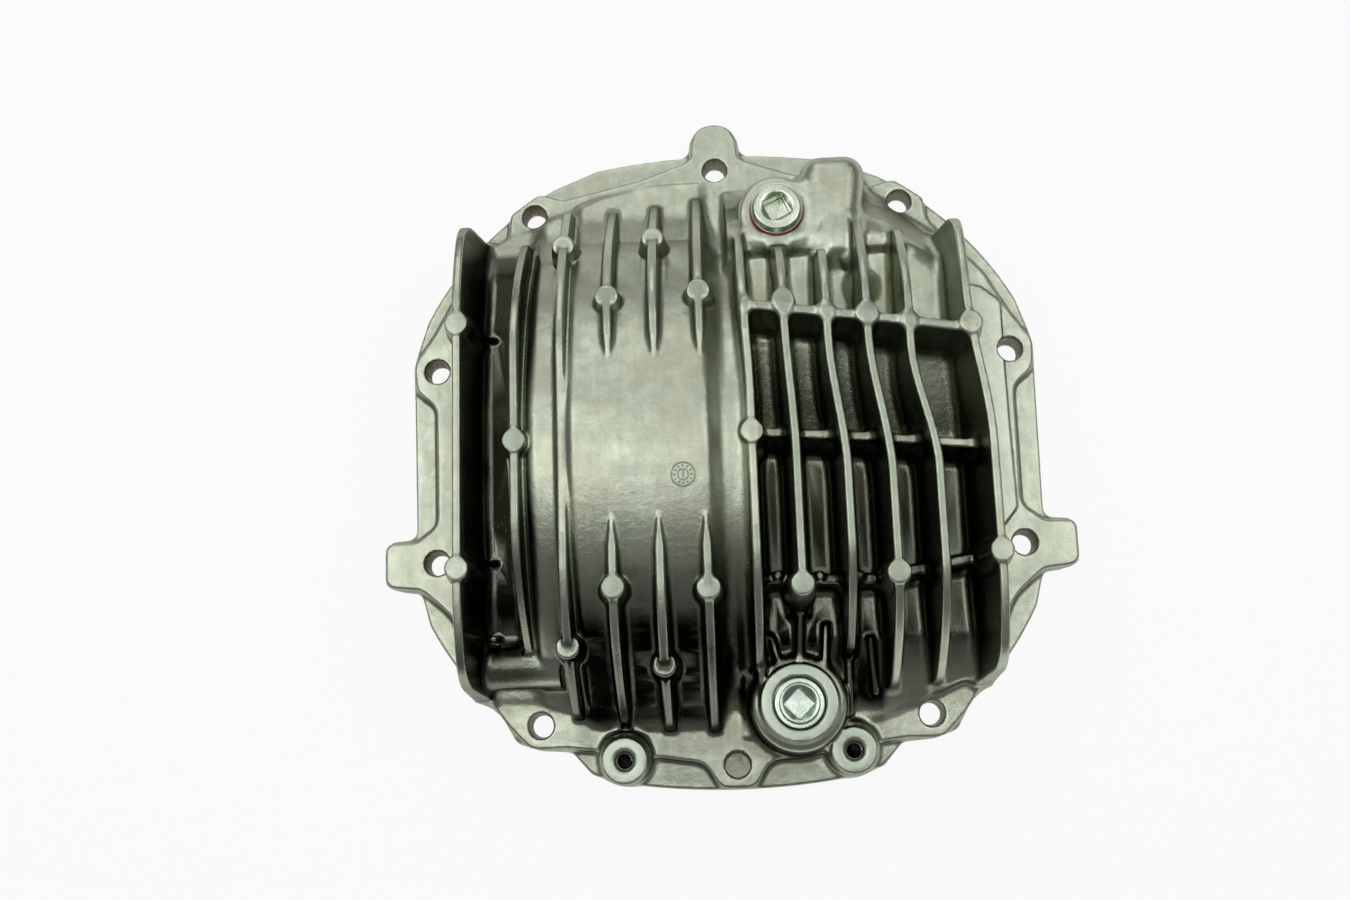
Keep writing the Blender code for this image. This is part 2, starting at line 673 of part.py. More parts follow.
def add_cuts(collection):
    side_x, side_y = BOLT_SIDE
    bolt_x, bolt_y = BOLT_DIAGONAL
    holes = [(0, BOLT_TOP_Y)]
    for sign_x in (-1, 1):
        for sign_y in (-1, 1):
            holes.append((sign_x * side_x, sign_y * side_y))
            holes.append((sign_x * bolt_x, sign_y * bolt_y))
    slope = (BOLT_HOLE_TOP_R - BOLT_HOLE_BOTTOM_R) / BAND_HEIGHT * OVERSHOOT
    for number, centre in enumerate(holes):
        tapered(
            f"bolt_hole_{number}", centre, -OVERSHOOT, PATCH_HEIGHT + OVERSHOOT,
            BOLT_HOLE_BOTTOM_R - slope, BOLT_HOLE_TOP_R + slope, collection, 20,
        )
    tapered("blind_recess", (0, -BOLT_TOP_Y), BAND_HEIGHT - 1.8, BAND_HEIGHT + 0.6, 3.0, 5.6, collection, 20)
    fill_bore = FILL_SHANK_R + CLEARANCE
    bore_low = MOUTH_DEPTH - 1
    tapered("fill_bore", FILL, bore_low, FILL_FACE + OVERSHOOT, fill_bore, fill_bore, collection, 28)
    drain_bore = DRAIN_PLUG_R + CLEARANCE
    tapered("drain_bore", DRAIN, bore_low, DRAIN_FACE + OVERSHOOT, drain_bore, drain_bore, collection, 28)
    tapered(
        "drain_sink", DRAIN, DRAIN_FACE - DRAIN_PLUG_SUNK, DRAIN_FACE + OVERSHOOT,
        DRAIN_SINK_R, DRAIN_SINK_R + 1, collection, 28,
    )
    for number, centre in enumerate(TAPPED):
        tapered(
            f"tapped_hole_{number}", centre, TAPPED_HOLE_FLOOR, TAPPED_FACE + 1,
            TAPPED_HOLE_R, TAPPED_HOLE_R, collection, 16,
        )
        tapered(
            f"tapped_sink_{number}", centre, TAPPED_FACE - 1.5, TAPPED_FACE + 1.5,
            TAPPED_HOLE_R - 0.1, TAPPED_HOLE_R + 3.3, collection, 16,
        )


def build_casting():
    """The flange plate, with all the forms joined to it and then the hollow and holes cut."""
    forms = new_collection("helper_forms", HELPERS)
    cuts = new_collection("helper_cuts", HELPERS)
    shells = new_collection("helper_shells", HELPERS)
    casting = extruded("cover_casting", flange_outline(), 0, RIM_THICKNESS, PARTS)
    bevelled(extruded("band", band_outline(), 1.5, BAND_HEIGHT, forms), 0.8, 1)

    outer = new_collection("helper_outer", shells)
    inner = new_collection("helper_inner", shells)
    housing = extruded("housing", housing_outline(), FORM_BASE - 1, DRUM_CREST + OVERSHOOT, forms)
    housing_forms(0, outer)
    union_of_outer = place(bpy.data.objects.new("housing_union", bpy.data.meshes.new("housing_union")), shells)
    boolean(union_of_outer, "UNION", outer)
    boolean(housing, "INTERSECT", union_of_outer)
    add_fins(forms)
    add_ribs(forms)
    add_bosses(forms)

    hollow = extruded("hollow", opening_outline(), -OVERSHOOT + 1, DRUM_CREST, cuts)
    housing_forms(WALL, inner)
    union_of_inner = place(bpy.data.objects.new("hollow_union", bpy.data.meshes.new("hollow_union")), shells)
    boolean(union_of_inner, "UNION", inner)
    boolean(hollow, "INTERSECT", union_of_inner)
    add_cuts(cuts)

    boolean(casting, "UNION", forms)
    boolean(casting, "DIFFERENCE", cuts)
    casting.data.materials.append(material("cast_aluminium", (0.56, 0.57, 0.53), 0.42, 1.0))
    return casting


def square_recess(name, centre, top, depth, turn):
    corner_r = SQUARE_DRIVE / math.sqrt(2)
    return tapered(name, centre, top - depth, top + OVERSHOOT, corner_r, corner_r, TOOLS, 4, turn)


def build_fill_plug():
    seat = FILL_FACE + FILL_SEAL_HEIGHT + 2 * CLEARANCE
    top = seat + FILL_HEAD_HEIGHT
    plug = turned(
        "fill_plug",
        [
            (0, top),
            (FILL_HEAD_R - 1.6, top),
            (FILL_HEAD_R, top - 1.2),
            (FILL_HEAD_R, seat),
            (FILL_SHANK_R, seat),
            (FILL_SHANK_R, seat - FILL_SHANK_LENGTH + 1),
            (FILL_SHANK_R - 1, seat - FILL_SHANK_LENGTH),
            (0, seat - FILL_SHANK_LENGTH),
        ],
        FILL,
        PARTS,
    )
    boolean(plug, "DIFFERENCE", square_recess("fill_square", FILL, top, SQUARE_DEPTH, SQUARE_TURN_FILL))
    plug.data.materials.append(material("zinc_plate", (0.72, 0.76, 0.68), 0.3, 1.0))
    low = FILL_FACE + CLEARANCE
    inside = FILL_SHANK_R + CLEARANCE
    outside = FILL_HEAD_R + FILL_SEAL_PROUD
    high = low + FILL_SEAL_HEIGHT
    seal = turned(
        "fill_plug_seal",
        [(inside, high), (outside, high), (outside, low), (inside, low), (inside, high)],
        FILL,
        PARTS,
    )
    seal.data.materials.append(material("red_rubber", (0.35, 0.02, 0.04), 0.5, 0.0))


def build_drain_plug():
    top = DRAIN_FACE - DRAIN_PLUG_SUNK
    cup = top - DRAIN_CUP_DEPTH
    low = top - DRAIN_PLUG_LENGTH
    socket = low + MAGNET_LENGTH / 2
    plug = turned(
        "drain_plug",
        [
            (0, cup),
            (DRAIN_CUP_R, cup),
            (DRAIN_CUP_R, top),
            (DRAIN_PLUG_R - 0.8, top),
            (DRAIN_PLUG_R, top - 0.8),
            (DRAIN_PLUG_R, low + 1),
            (DRAIN_PLUG_R - 1, low),
            (MAGNET_R + CLEARANCE, low),
            (MAGNET_R + CLEARANCE, socket),
            (0, socket),
        ],
        DRAIN,
        PARTS,
    )
    boolean(plug, "DIFFERENCE", square_recess("drain_square", DRAIN, cup, 6.0, SQUARE_TURN_DRAIN))
    plug.data.materials.append(material("drain_zinc_plate", (0.66, 0.72, 0.68), 0.32, 1.0))
    magnet_top = socket - CLEARANCE
    magnet = turned(
        "drain_plug_magnet",
        [
            (0, magnet_top),
            (MAGNET_R, magnet_top),
            (MAGNET_R, magnet_top - MAGNET_LENGTH + 0.6),
            (MAGNET_R - 0.6, magnet_top - MAGNET_LENGTH),
            (0, magnet_top - MAGNET_LENGTH),
        ],
        DRAIN,
        PARTS,
        24,
    )
    magnet.data.materials.append(material("magnet", (0.25, 0.25, 0.26), 0.35, 1.0))


clear_scene()
PARTS = new_collection("differential_cover")
HELPERS = new_collection("helpers")
TOOLS = new_collection("helper_tools", HELPERS)
DATUM = bpy.data.objects.new("pattern_centre", None)
DATUM.location = (0, DATUM_Y * MM, 0)
bpy.context.scene.collection.objects.link(DATUM)
build_casting()
build_fill_plug()
build_drain_plug()
for node in PARTS.objects:
    node.data.shade_smooth()
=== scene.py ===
"""Looks of a finned differential cover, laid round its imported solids.

Shapes are worked out in millimetres from the centre of the bolt pattern, as in the part's
source: +X right, +Y the cover's top, +Z out of the gasket face. The casting's skin is found
on a grid of distances, so every edge is rounded and every corner has its cast fillet.
"""

import math

import bpy
import numpy as np
from mathutils import Matrix, Vector


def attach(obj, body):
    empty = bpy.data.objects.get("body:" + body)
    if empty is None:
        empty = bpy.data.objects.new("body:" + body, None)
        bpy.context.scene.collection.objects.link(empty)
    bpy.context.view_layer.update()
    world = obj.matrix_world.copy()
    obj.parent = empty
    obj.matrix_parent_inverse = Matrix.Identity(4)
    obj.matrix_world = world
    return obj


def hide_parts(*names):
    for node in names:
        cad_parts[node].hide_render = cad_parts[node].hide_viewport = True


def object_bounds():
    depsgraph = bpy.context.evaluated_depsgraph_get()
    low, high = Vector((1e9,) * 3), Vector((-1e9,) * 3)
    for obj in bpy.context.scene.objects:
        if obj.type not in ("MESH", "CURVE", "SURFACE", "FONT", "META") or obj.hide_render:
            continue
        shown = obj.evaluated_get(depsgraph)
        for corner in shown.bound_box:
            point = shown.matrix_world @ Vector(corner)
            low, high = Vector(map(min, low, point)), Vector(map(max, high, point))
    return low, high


bl_info = {
    "name": "Finned Differential Cover",
    "version": (1, 0, 0),
    "blender": (4, 5, 0),
    "location": "View3D > Sidebar > Cover",
    "description": "Builds a die-cast finned differential cover with its plugs, finishes and stage",
    "category": "Object",
}

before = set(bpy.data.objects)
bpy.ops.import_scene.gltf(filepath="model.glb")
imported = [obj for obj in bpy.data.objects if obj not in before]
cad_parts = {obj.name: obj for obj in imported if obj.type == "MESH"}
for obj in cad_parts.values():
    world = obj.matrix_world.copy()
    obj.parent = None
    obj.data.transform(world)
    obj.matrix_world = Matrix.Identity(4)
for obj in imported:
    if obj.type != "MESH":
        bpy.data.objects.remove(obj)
CAD_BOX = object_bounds()
MM = 0.001

# Bolt pattern and flange
BOLT_SIDE = (127.0, 43.0)
BOLT_DIAGONAL = (82.6, 113.9)
BOLT_TOP_Y = 132.6
BOLT_HOLE_TOP_R = 5.4
BOLT_HOLE_BOTTOM_R = 4.5
BOLT_BOSS_R = 10.4
BODY_R = 148.3
BODY_SIDE_X = 138.3
BODY_TOP_Y = 141.4
BODY_BOTTOM_Y = -142.8
BODY_END_ARC_R = 310.0
RIM_THICKNESS = 7.5
BAND_HEIGHT = 12.0
TAB_TOP_Y = 155.8
TAB_HALF_WIDTH = 10.8
EAR_TIP_X = 150.8
EAR_TOP_Y = -32.4
EAR_BOTTOM_Y = -54.2
PATCH_HEIGHT = 13.2

# Housing
GEAR_AXIS_Y = -3.0
DRUM_CREST = 74.0
DRUM_R = 125.0
DRUM_LEFT_X = -61.5
DRUM_RIGHT_X = -7.1
DRUM_SIDE_LEAN = 1.0
STEP_DROP = 6.0
STEP_LEFT_X = -78.5
STEP_SIDE_LEAN = 0.85
STEP_RIGHT_X = 9.0
GROOVE_CREST = 34.0
HOUSING_LEFT_X = -110.5
HOUSING_UPPER_X = 101.8
HOUSING_LOWER_X = 108.4
UPPER_FLOOR = 39.8
UPPER_CREST = 43.5
LOWER_FLOOR = 26.0
# The depth that the housing's profiles start from, well under the gasket face
BELOW = -30.0

# Bosses
FILL = (25.8, 99.6)
FILL_FACE = 44.0
FILL_BOSS_R = 16.8
FILL_BORE_R = 9.2
DRAIN = (26.2, -108.5)
DRAIN_FACE = 34.0
DRAIN_BOSS_R = 16.1
DRAIN_BORE_R = 10.7
DRAIN_SINK_R = 11.3
SQUARE_TURN_FILL = 25
SQUARE_TURN_DRAIN = 45
TAPPED = ((-46.8, -129.5), (48.3, -128.1))
TAPPED_FACE = 23.0
TAPPED_BOSS_R = 9.6
TAPPED_HOLE_R = 3.7
TAPPED_HOLE_FLOOR = 5.0
TAPPED_THREAD_DEPTH = 0.45
BREATHER_TOP = 45.5
TUBE_AXIS = (-88.7, 21.5)
TUBE_R = 10.0
TUBE_ENDS = (-103.0, -72.0)
FLOOR_BOSS = (60.5, 65.0)
FLOOR_BUMP = (55.5, 76.0)
GROOVE_BUMP = (-79.0, 2.8)
# The shelf's upper right corner slopes along the plane a x + b y + c z = d
CORNER_CUT = (0.658, 0.753, 0.64, 143.8)
RIB_KNOBS = ((19.3, -57.4), (36.2, -58.2), (52.3, -58.4))
PLATE_KNOB_Y = (50.5, -46.7, -78.0)
PAD_R = 4.75
PAD_RISE = 0.4
DATE_DIAL = (-17.3, -19.1, 72.9)
DATE_DIAL_LEAN = 7.4

# Plugs, seal and magnet, as radii and heights
FILL_HEAD_R = 11.2
FILL_FLAT_R = 9.7
FILL_CONE_R = 6.9
FILL_ROOT_R = 8.35
FILL_CREST_R = 8.9
FILL_TOP = 50.0
FILL_SEAT = 46.2
FILL_PLUG_LOW = 33.2
SEAL_R = 11.7
SEAL_LOW = 44.3
SEAL_HIGH = 45.9
DRAIN_PLUG_R = 10.4
DRAIN_RING_R = 8.3
DRAIN_CUP_R = 7.3
DRAIN_TOP = 33.0
DRAIN_PLUG_LOW = 19.0
MAGNET_SOCKET_R = 5.3
MAGNET_R = 5.0
MAGNET_LOW = 15.7
MAGNET_HIGH = 21.7
PATTERN_Y = CAD_BOX[1][1] - TAB_TOP_Y * MM

# Each fin: its name, its x above the bend and below it, the y of its upper and lower end,
# then for its upper and its lower half the y where its tip starts to fall and the y where it
# would reach the band, and last the y where its bend starts and ends
STRAIGHT = (40, -20)
FINS = (
    ("outer_left", -107.9, -107.9, 101.0, -103.0, (50, 139), (55, 145), STRAIGHT),
    ("groove", -84.8, -84.8, 97.0, -93.0, (32, 106), (30, 97), STRAIGHT),
    ("drum_left", -65.9, -65.9, 112.0, -112.0, (30, 122), (50, 120), STRAIGHT),
    ("drum_inner_left", -46.4, -46.4, 115.0, -117.0, (42, 116), (60, 118), STRAIGHT),
    ("drum_inner_right", -27.6, -27.6, 115.0, -118.0, (48, 118), (60, 124), STRAIGHT),
    ("drum_right", -8.9, -8.9, 118.0, -119.0, (42, 121), (50, 122), STRAIGHT),
    ("step_edge", 8.8, 10.6, 96.0, -96.0, (45, 112), (45, 110), (70, 10)),
    ("middle_left", 25.4, 27.9, 85.5, -74.0, (52, 105), (60, 140), (50, -14)),
    ("middle", 42.8, 47.9, 82.0, -91.0, (52, 108), (45, 102), (38, -20)),
    ("middle_right", 59.0, 65.6, 104.0, -104.0, (50, 118), (58, 112), (38, -22)),
    ("inner_right", 75.8, 84.0, 92.0, -103.0, (48, 112), (55, 112), (32, -20)),
    ("outer_right", 99.4, 106.0, 94.5, -102.5, (50, 139), (55, 145), (56, -10)),
)

# Fins that run out on the drum's crown
DRUM_FINS = ("drum_inner_left", "drum_inner_right", "drum_right")

# Ejector pads: the fin that each sits on, and its y
PADS = (
    ("outer_left", 47.3), ("outer_left", -52.9),
    ("groove", -2.3),
    ("drum_left", 86.2), ("drum_left", -84.2),
    ("drum_inner_left", 56.8), ("drum_inner_left", -62.6),
    ("drum_inner_right", 86.5), ("drum_inner_right", -92.5),
    ("drum_right", 57.8), ("drum_right", -63.7),
    ("step_edge", -2.1),
    ("middle_left", 51.7), ("middle_left", -63.6),
    ("middle_right", 44.8), ("middle_right", -60.3),
    ("outer_right", 39.2), ("outer_right", -53.2),
)

# Cross ribs and the low webs round the drain boss, as (x, y, top) points
CROSS_RIB_WIDTH = 4.0
DRAIN_WEB_WIDTH = 2.8
CROSS_RIBS = (
    ((9.5, 50.8, 70.5), (60, 43.5, 70.5), (99, 37.3, 70.5)),
    ((9.5, 1.2, 54), (60, -2.6, 53), (102, -7.0, 52)),
    ((9.5, -58.5, 46), (58, -60.0, 45), (104, -52.0, 43)),
)
DRAIN_WEBS = (
    ((10.8, -88, 38), (12.0, -114, 24)),
    ((15.5, -80, 28.5), (19.0, -94, 28)),
    ((28.0, -72, 36), (27.0, -92, 29)),
    ((39.0, -76, 28.5), (37.5, -93, 28)),
    ((48.0, -80, 28), (47.5, -114, 22)),
    ((57.2, -82, 28), (58.8, -106, 19)),
)

# The machined patch on the band's right side, as corners with their radii
PATCH = (
    (108, 74, 2), (116, 72, 3), (124.3, 65, 4), (124, 30, 3), (124.6, -28, 2), (118, -36, 2), (108, -36, 1),
)

# Painted shade for the walls of the tapped holes and the bolt holes, and the share of light that metal keeps
# at a grazing angle
PAINTED_HOLE_SHADE = (0.012, 0.012, 0.01)
PAINTED_BORE_SHADE = (0.09, 0.075, 0.045)
EDGE_TINT = (0.5, 0.5, 0.5)

# The camera, fitted to the bolt holes: its turns in degrees, the pattern's centre as it sees
# it, in millimetres, its focal length and the picture's width in pixels
CAMERA_TURNS = (-11.64, -1.77, 2.21)
CAMERA_SIGHT = (22.6, -4.7, -653.5)
FOCAL_PIXELS = 1466.4
PICTURE_PIXELS = 1350
SENSOR_WIDTH = 36.0

# Each lamp: its name, place and size in metres, and its share of one of the stage's powers
LAMP_TARGET = (0, 0, 0.03)
LAMPS = (
    ("left lamp", (-0.62, 0.2, 1.2), 0.9, "key", 1.0),
    ("right lamp", (0.66, 0.2, 1.2), 0.9, "key", 0.9),
    ("front lamp", (-0.08, -0.14, 1.3), 0.4, "key", 0.26),
    ("back lamp", (0.1, 0.5, 1.3), 0.45, "key", 0.1),
    ("top lamp", (-0.1, 1.25, 0.95), 1.0, "side", 1.0),
)
FLOOR_REACH = 6.0
FLOOR_DEPTH = 0.0002
FLOOR_GLOW = 0.92


def mm(metres):
    return metres / MM


def arc(centre, radius, start, end, steps):
    """Points on a circle from one angle in degrees to another."""
    angles = [math.radians(start + (end - start) * i / steps) for i in range(steps + 1)]
    return [(centre[0] + radius * math.cos(a), centre[1] + radius * math.sin(a)) for a in angles]


def rounded(points, steps=6):
    """Replaces each corner (x, y, radius) of a closed outline by an arc tangent to its sides."""
    result = []
    for i, point in enumerate(points):
        if len(point) == 2:
            result.append(point)
            continue
        corner = Vector(point[:2])
        before = (Vector(points[i - 1][:2]) - corner).normalized()
        after = (Vector(points[(i + 1) % len(points)][:2]) - corner).normalized()
        half = before.angle(after) / 2
        reach = point[2] / math.tan(half)
        centre = corner + (before + after).normalized() * point[2] / math.sin(half)
        first = corner + before * reach - centre
        turn = first.angle_signed(corner + after * reach - centre)
        for k in range(steps + 1):
            result.append(tuple(centre + Matrix.Rotation(-turn * k / steps, 2) @ first))
    return result


def mirrored(half):
    """The right half of an outline, from top to bottom, and its mirror image back up."""
    left = [(-p[0], *p[1:]) for p in reversed(half) if abs(p[0]) > 1e-6]
    return rounded(half + left)


def flange_outline():
    bolt_x, bolt_y = BOLT_DIAGONAL
    return mirrored([
        (TAB_HALF_WIDTH, TAB_TOP_Y, TAB_HALF_WIDTH - 0.4),
        (TAB_HALF_WIDTH + 0.7, BODY_TOP_Y - 0.6, 5),
        *arc((0, BODY_TOP_Y - BODY_END_ARC_R), BODY_END_ARC_R, 86.9, 80, 6),
        *arc((0, 0), BODY_R, 60, 27, 14),
        (BODY_SIDE_X, 48, 30),
        (BODY_SIDE_X - 1.5, EAR_TOP_Y + 1, 4),
        (EAR_TIP_X - 3, EAR_TOP_Y, 3),
        (EAR_TIP_X, EAR_TOP_Y - 5, 3),
        (EAR_TIP_X - 0.4, EAR_BOTTOM_Y + 2, 4),
        (EAR_TIP_X - 8, EAR_BOTTOM_Y, 5),
        (BODY_SIDE_X - 3.5, EAR_BOTTOM_Y - 1, 5),
        *arc((0, 0), BODY_R, -28, -48, 8),
        (bolt_x + 11, -bolt_y - 7, 6),
        (bolt_x, -bolt_y - BOLT_BOSS_R, 6),
        (bolt_x - 12.5, -bolt_y - BOLT_BOSS_R - 1, 5),
        (bolt_x - 21, -bolt_y - 21, 6),
        *arc((0, BODY_BOTTOM_Y + BODY_END_ARC_R), BODY_END_ARC_R, -80.6, -90, 8),
    ])


def band_outline():
    side_x, side_y = BOLT_SIDE
    bolt_x, bolt_y = BOLT_DIAGONAL
    return mirrored([
        (TAB_HALF_WIDTH - 0.8, TAB_TOP_Y - 0.8, TAB_HALF_WIDTH - 1.2),
        (TAB_HALF_WIDTH, 138, 5),
        (34, 129.6, 40),
        (bolt_x - 13, bolt_y + 7.5, 8),
        (bolt_x - 1, bolt_y + BOLT_BOSS_R + 1, 9),
        (bolt_x + 11, bolt_y + 3, 9),
        (bolt_x + 12, bolt_y - 9, 8),
        (117.5, 80, 25),
        (side_x + 1.5, side_y + 17, 12),
        (side_x + 10.6, side_y + 4, 9),
        (side_x + 9.5, side_y - 9, 9),
        (side_x + 0.6, side_y - 16, 8),
        (side_x, EAR_TOP_Y + 6, 7),
        (side_x + 9, EAR_TOP_Y - 1, 7),
        (EAR_TIP_X - 1, EAR_TOP_Y - 1, 4),
        (EAR_TIP_X - 1, EAR_BOTTOM_Y + 1, 5),
        (side_x + 7, EAR_BOTTOM_Y - 0.5, 8),
        (121, -66, 20),
        (bolt_x + 24, -bolt_y + 14, 12),
        (bolt_x + 14, -bolt_y, 9),
        (bolt_x + 4, -bolt_y - BOLT_BOSS_R, 9),
        (bolt_x - 10, -bolt_y - BOLT_BOSS_R + 0.6, 8),
        (44, -127, 20),
        (14, -131.5, 8),
        (7.2, -BOLT_TOP_Y - BOLT_BOSS_R + 0.6, 7),
    ])


def housing_outline():
    return rounded([
        (HOUSING_LEFT_X, 101, 6),
        (-98, 102, 10),
        (-71, 113.5, 12),
        (-52.5, 121.4, 20),
        (-29.5, 126.2, 20),
        (-6.7, 127.4, 20),
        (12, 126.6),
        (38, 124),
        (66, 123.5, 6),
        (84, 107.5, 12),
        (93.5, 102.5, 8),
        (HOUSING_UPPER_X, 99, 3),
        (HOUSING_UPPER_X, 50, 40),
        (HOUSING_LOWER_X, -10, 40),
        (HOUSING_LOWER_X, -101.5, 6),
        (96, -101, 8),
        (68, -113, 12),
        (40, -121.5, 12),
        (-20, -123.5),
        (-58, -116, 20),
        (-81, -103.5, 12),
        (HOUSING_LEFT_X, -102.5, 6),
    ])


def opening_outline(wall):
    return rounded([
        (HOUSING_LEFT_X + wall + 2, 88, 14),
        (-66, 104, 12),
        (-34, 112, 30),
        (60, 112, 14),
        (HOUSING_UPPER_X - wall, 78, 14),
        (HOUSING_UPPER_X - wall, 46, 30),
        (HOUSING_LOWER_X - wall, -14, 30),
        (HOUSING_LOWER_X - wall, -86, 14),
        (64, -105, 14),
        (30, -113, 12),
        (-36, -114, 30),
        (-70, -100, 12),
        (HOUSING_LEFT_X + wall + 2, -88, 14),
    ])


def drum_profile(drop):
    """The drum seen from its end: the arc that clears the gear, with sloping feet."""
    radius = DRUM_R - drop
    centre_z = DRUM_CREST - DRUM_R
    reach = math.degrees(math.acos((BAND_HEIGHT + 15 - centre_z) / radius))
    crown = arc((GEAR_AXIS_Y, centre_z), radius, 90 - reach, 90 + reach, 60)
    top_y = crown[0][0]
    bottom_y = crown[-1][0]
    return rounded([
        (bottom_y - 15, BELOW),
        (top_y + 31, BELOW),
        (top_y + 31, BAND_HEIGHT),
        (top_y + 13, BAND_HEIGHT + 5.5, 30),
        *crown,
        (bottom_y - 7, BAND_HEIGHT + 5.5, 8),
        (bottom_y - 15, BAND_HEIGHT),
    ])


def floor_profile():
    """The floor right of the drum: a shelf above the main cross rib, then a deeper floor."""
    return rounded([
        (-121, BELOW),
        (121, BELOW),
        (121, BAND_HEIGHT, 2),
        (111, BAND_HEIGHT + 7, 6),
        (97, UPPER_CREST - 4.5, 8),
        (88, UPPER_CREST, 5),
        (83, UPPER_CREST - 1, 3),
        (80, UPPER_FLOOR, 3),
        (40, UPPER_FLOOR, 5),
        (22, (UPPER_FLOOR + LOWER_FLOOR) / 2 + 1),
        (2, LOWER_FLOOR + 1, 20),
        (-30, LOWER_FLOOR),
        (-82, LOWER_FLOOR, 12),
        (-104, BAND_HEIGHT + 4, 10),
        (-112, BAND_HEIGHT, 5),
        (-121, BAND_HEIGHT),
    ])


def groove_profile():
    return rounded([
        (-108, BELOW),
        (106, BELOW),
        (106, BAND_HEIGHT),
        (98, BAND_HEIGHT, 10),
        (82, GROOVE_CREST - 12, 20),
        (56, GROOVE_CREST - 4, 40),
        (20, GROOVE_CREST, 40),
        (-30, GROOVE_CREST, 40),
        (-62, GROOVE_CREST - 5, 40),
        (-84, GROOVE_CREST - 13, 20),
        (-99, BAND_HEIGHT, 8),
        (-108, BAND_HEIGHT),
    ])


def outline_distance(points, u, v):
    """Signed distance in the plane from a grid of points to a closed outline, negative inside."""
    u, v = np.meshgrid(u, v, indexing="ij")
    nearest = np.full(u.shape, 1e6, np.float32)
    inside = np.zeros(u.shape, bool)
    for (ax, ay), (bx, by) in zip(points, points[1:] + points[:1]):
        ex, ey = bx - ax, by - ay
        if ex * ex + ey * ey < 1e-8:
            continue
        along = np.clip(((u - ax) * ex + (v - ay) * ey) / (ex * ex + ey * ey), 0, 1)
        nearest = np.minimum(nearest, (u - ax - along * ex) ** 2 + (v - ay - along * ey) ** 2)
        if ay != by:
            inside ^= ((ay > v) != (by > v)) & (u < ex * (v - ay) / ey + ax)
    distance = np.sqrt(nearest)
    return np.where(inside, -distance, distance).astype(np.float32)


def join_round(a, b, radius):
    """The union of two distances, with a fillet."""
    inner = np.sqrt(np.maximum(radius - a, 0) ** 2 + np.maximum(radius - b, 0) ** 2)
    return np.maximum(radius, np.minimum(a, b)) - inner


def keep_round(a, b, radius):
    """What two distances share, with its edge rounded."""
    outer = np.sqrt(np.maximum(radius + a, 0) ** 2 + np.maximum(radius + b, 0) ** 2)
    return np.minimum(-radius, np.maximum(a, b)) + outer


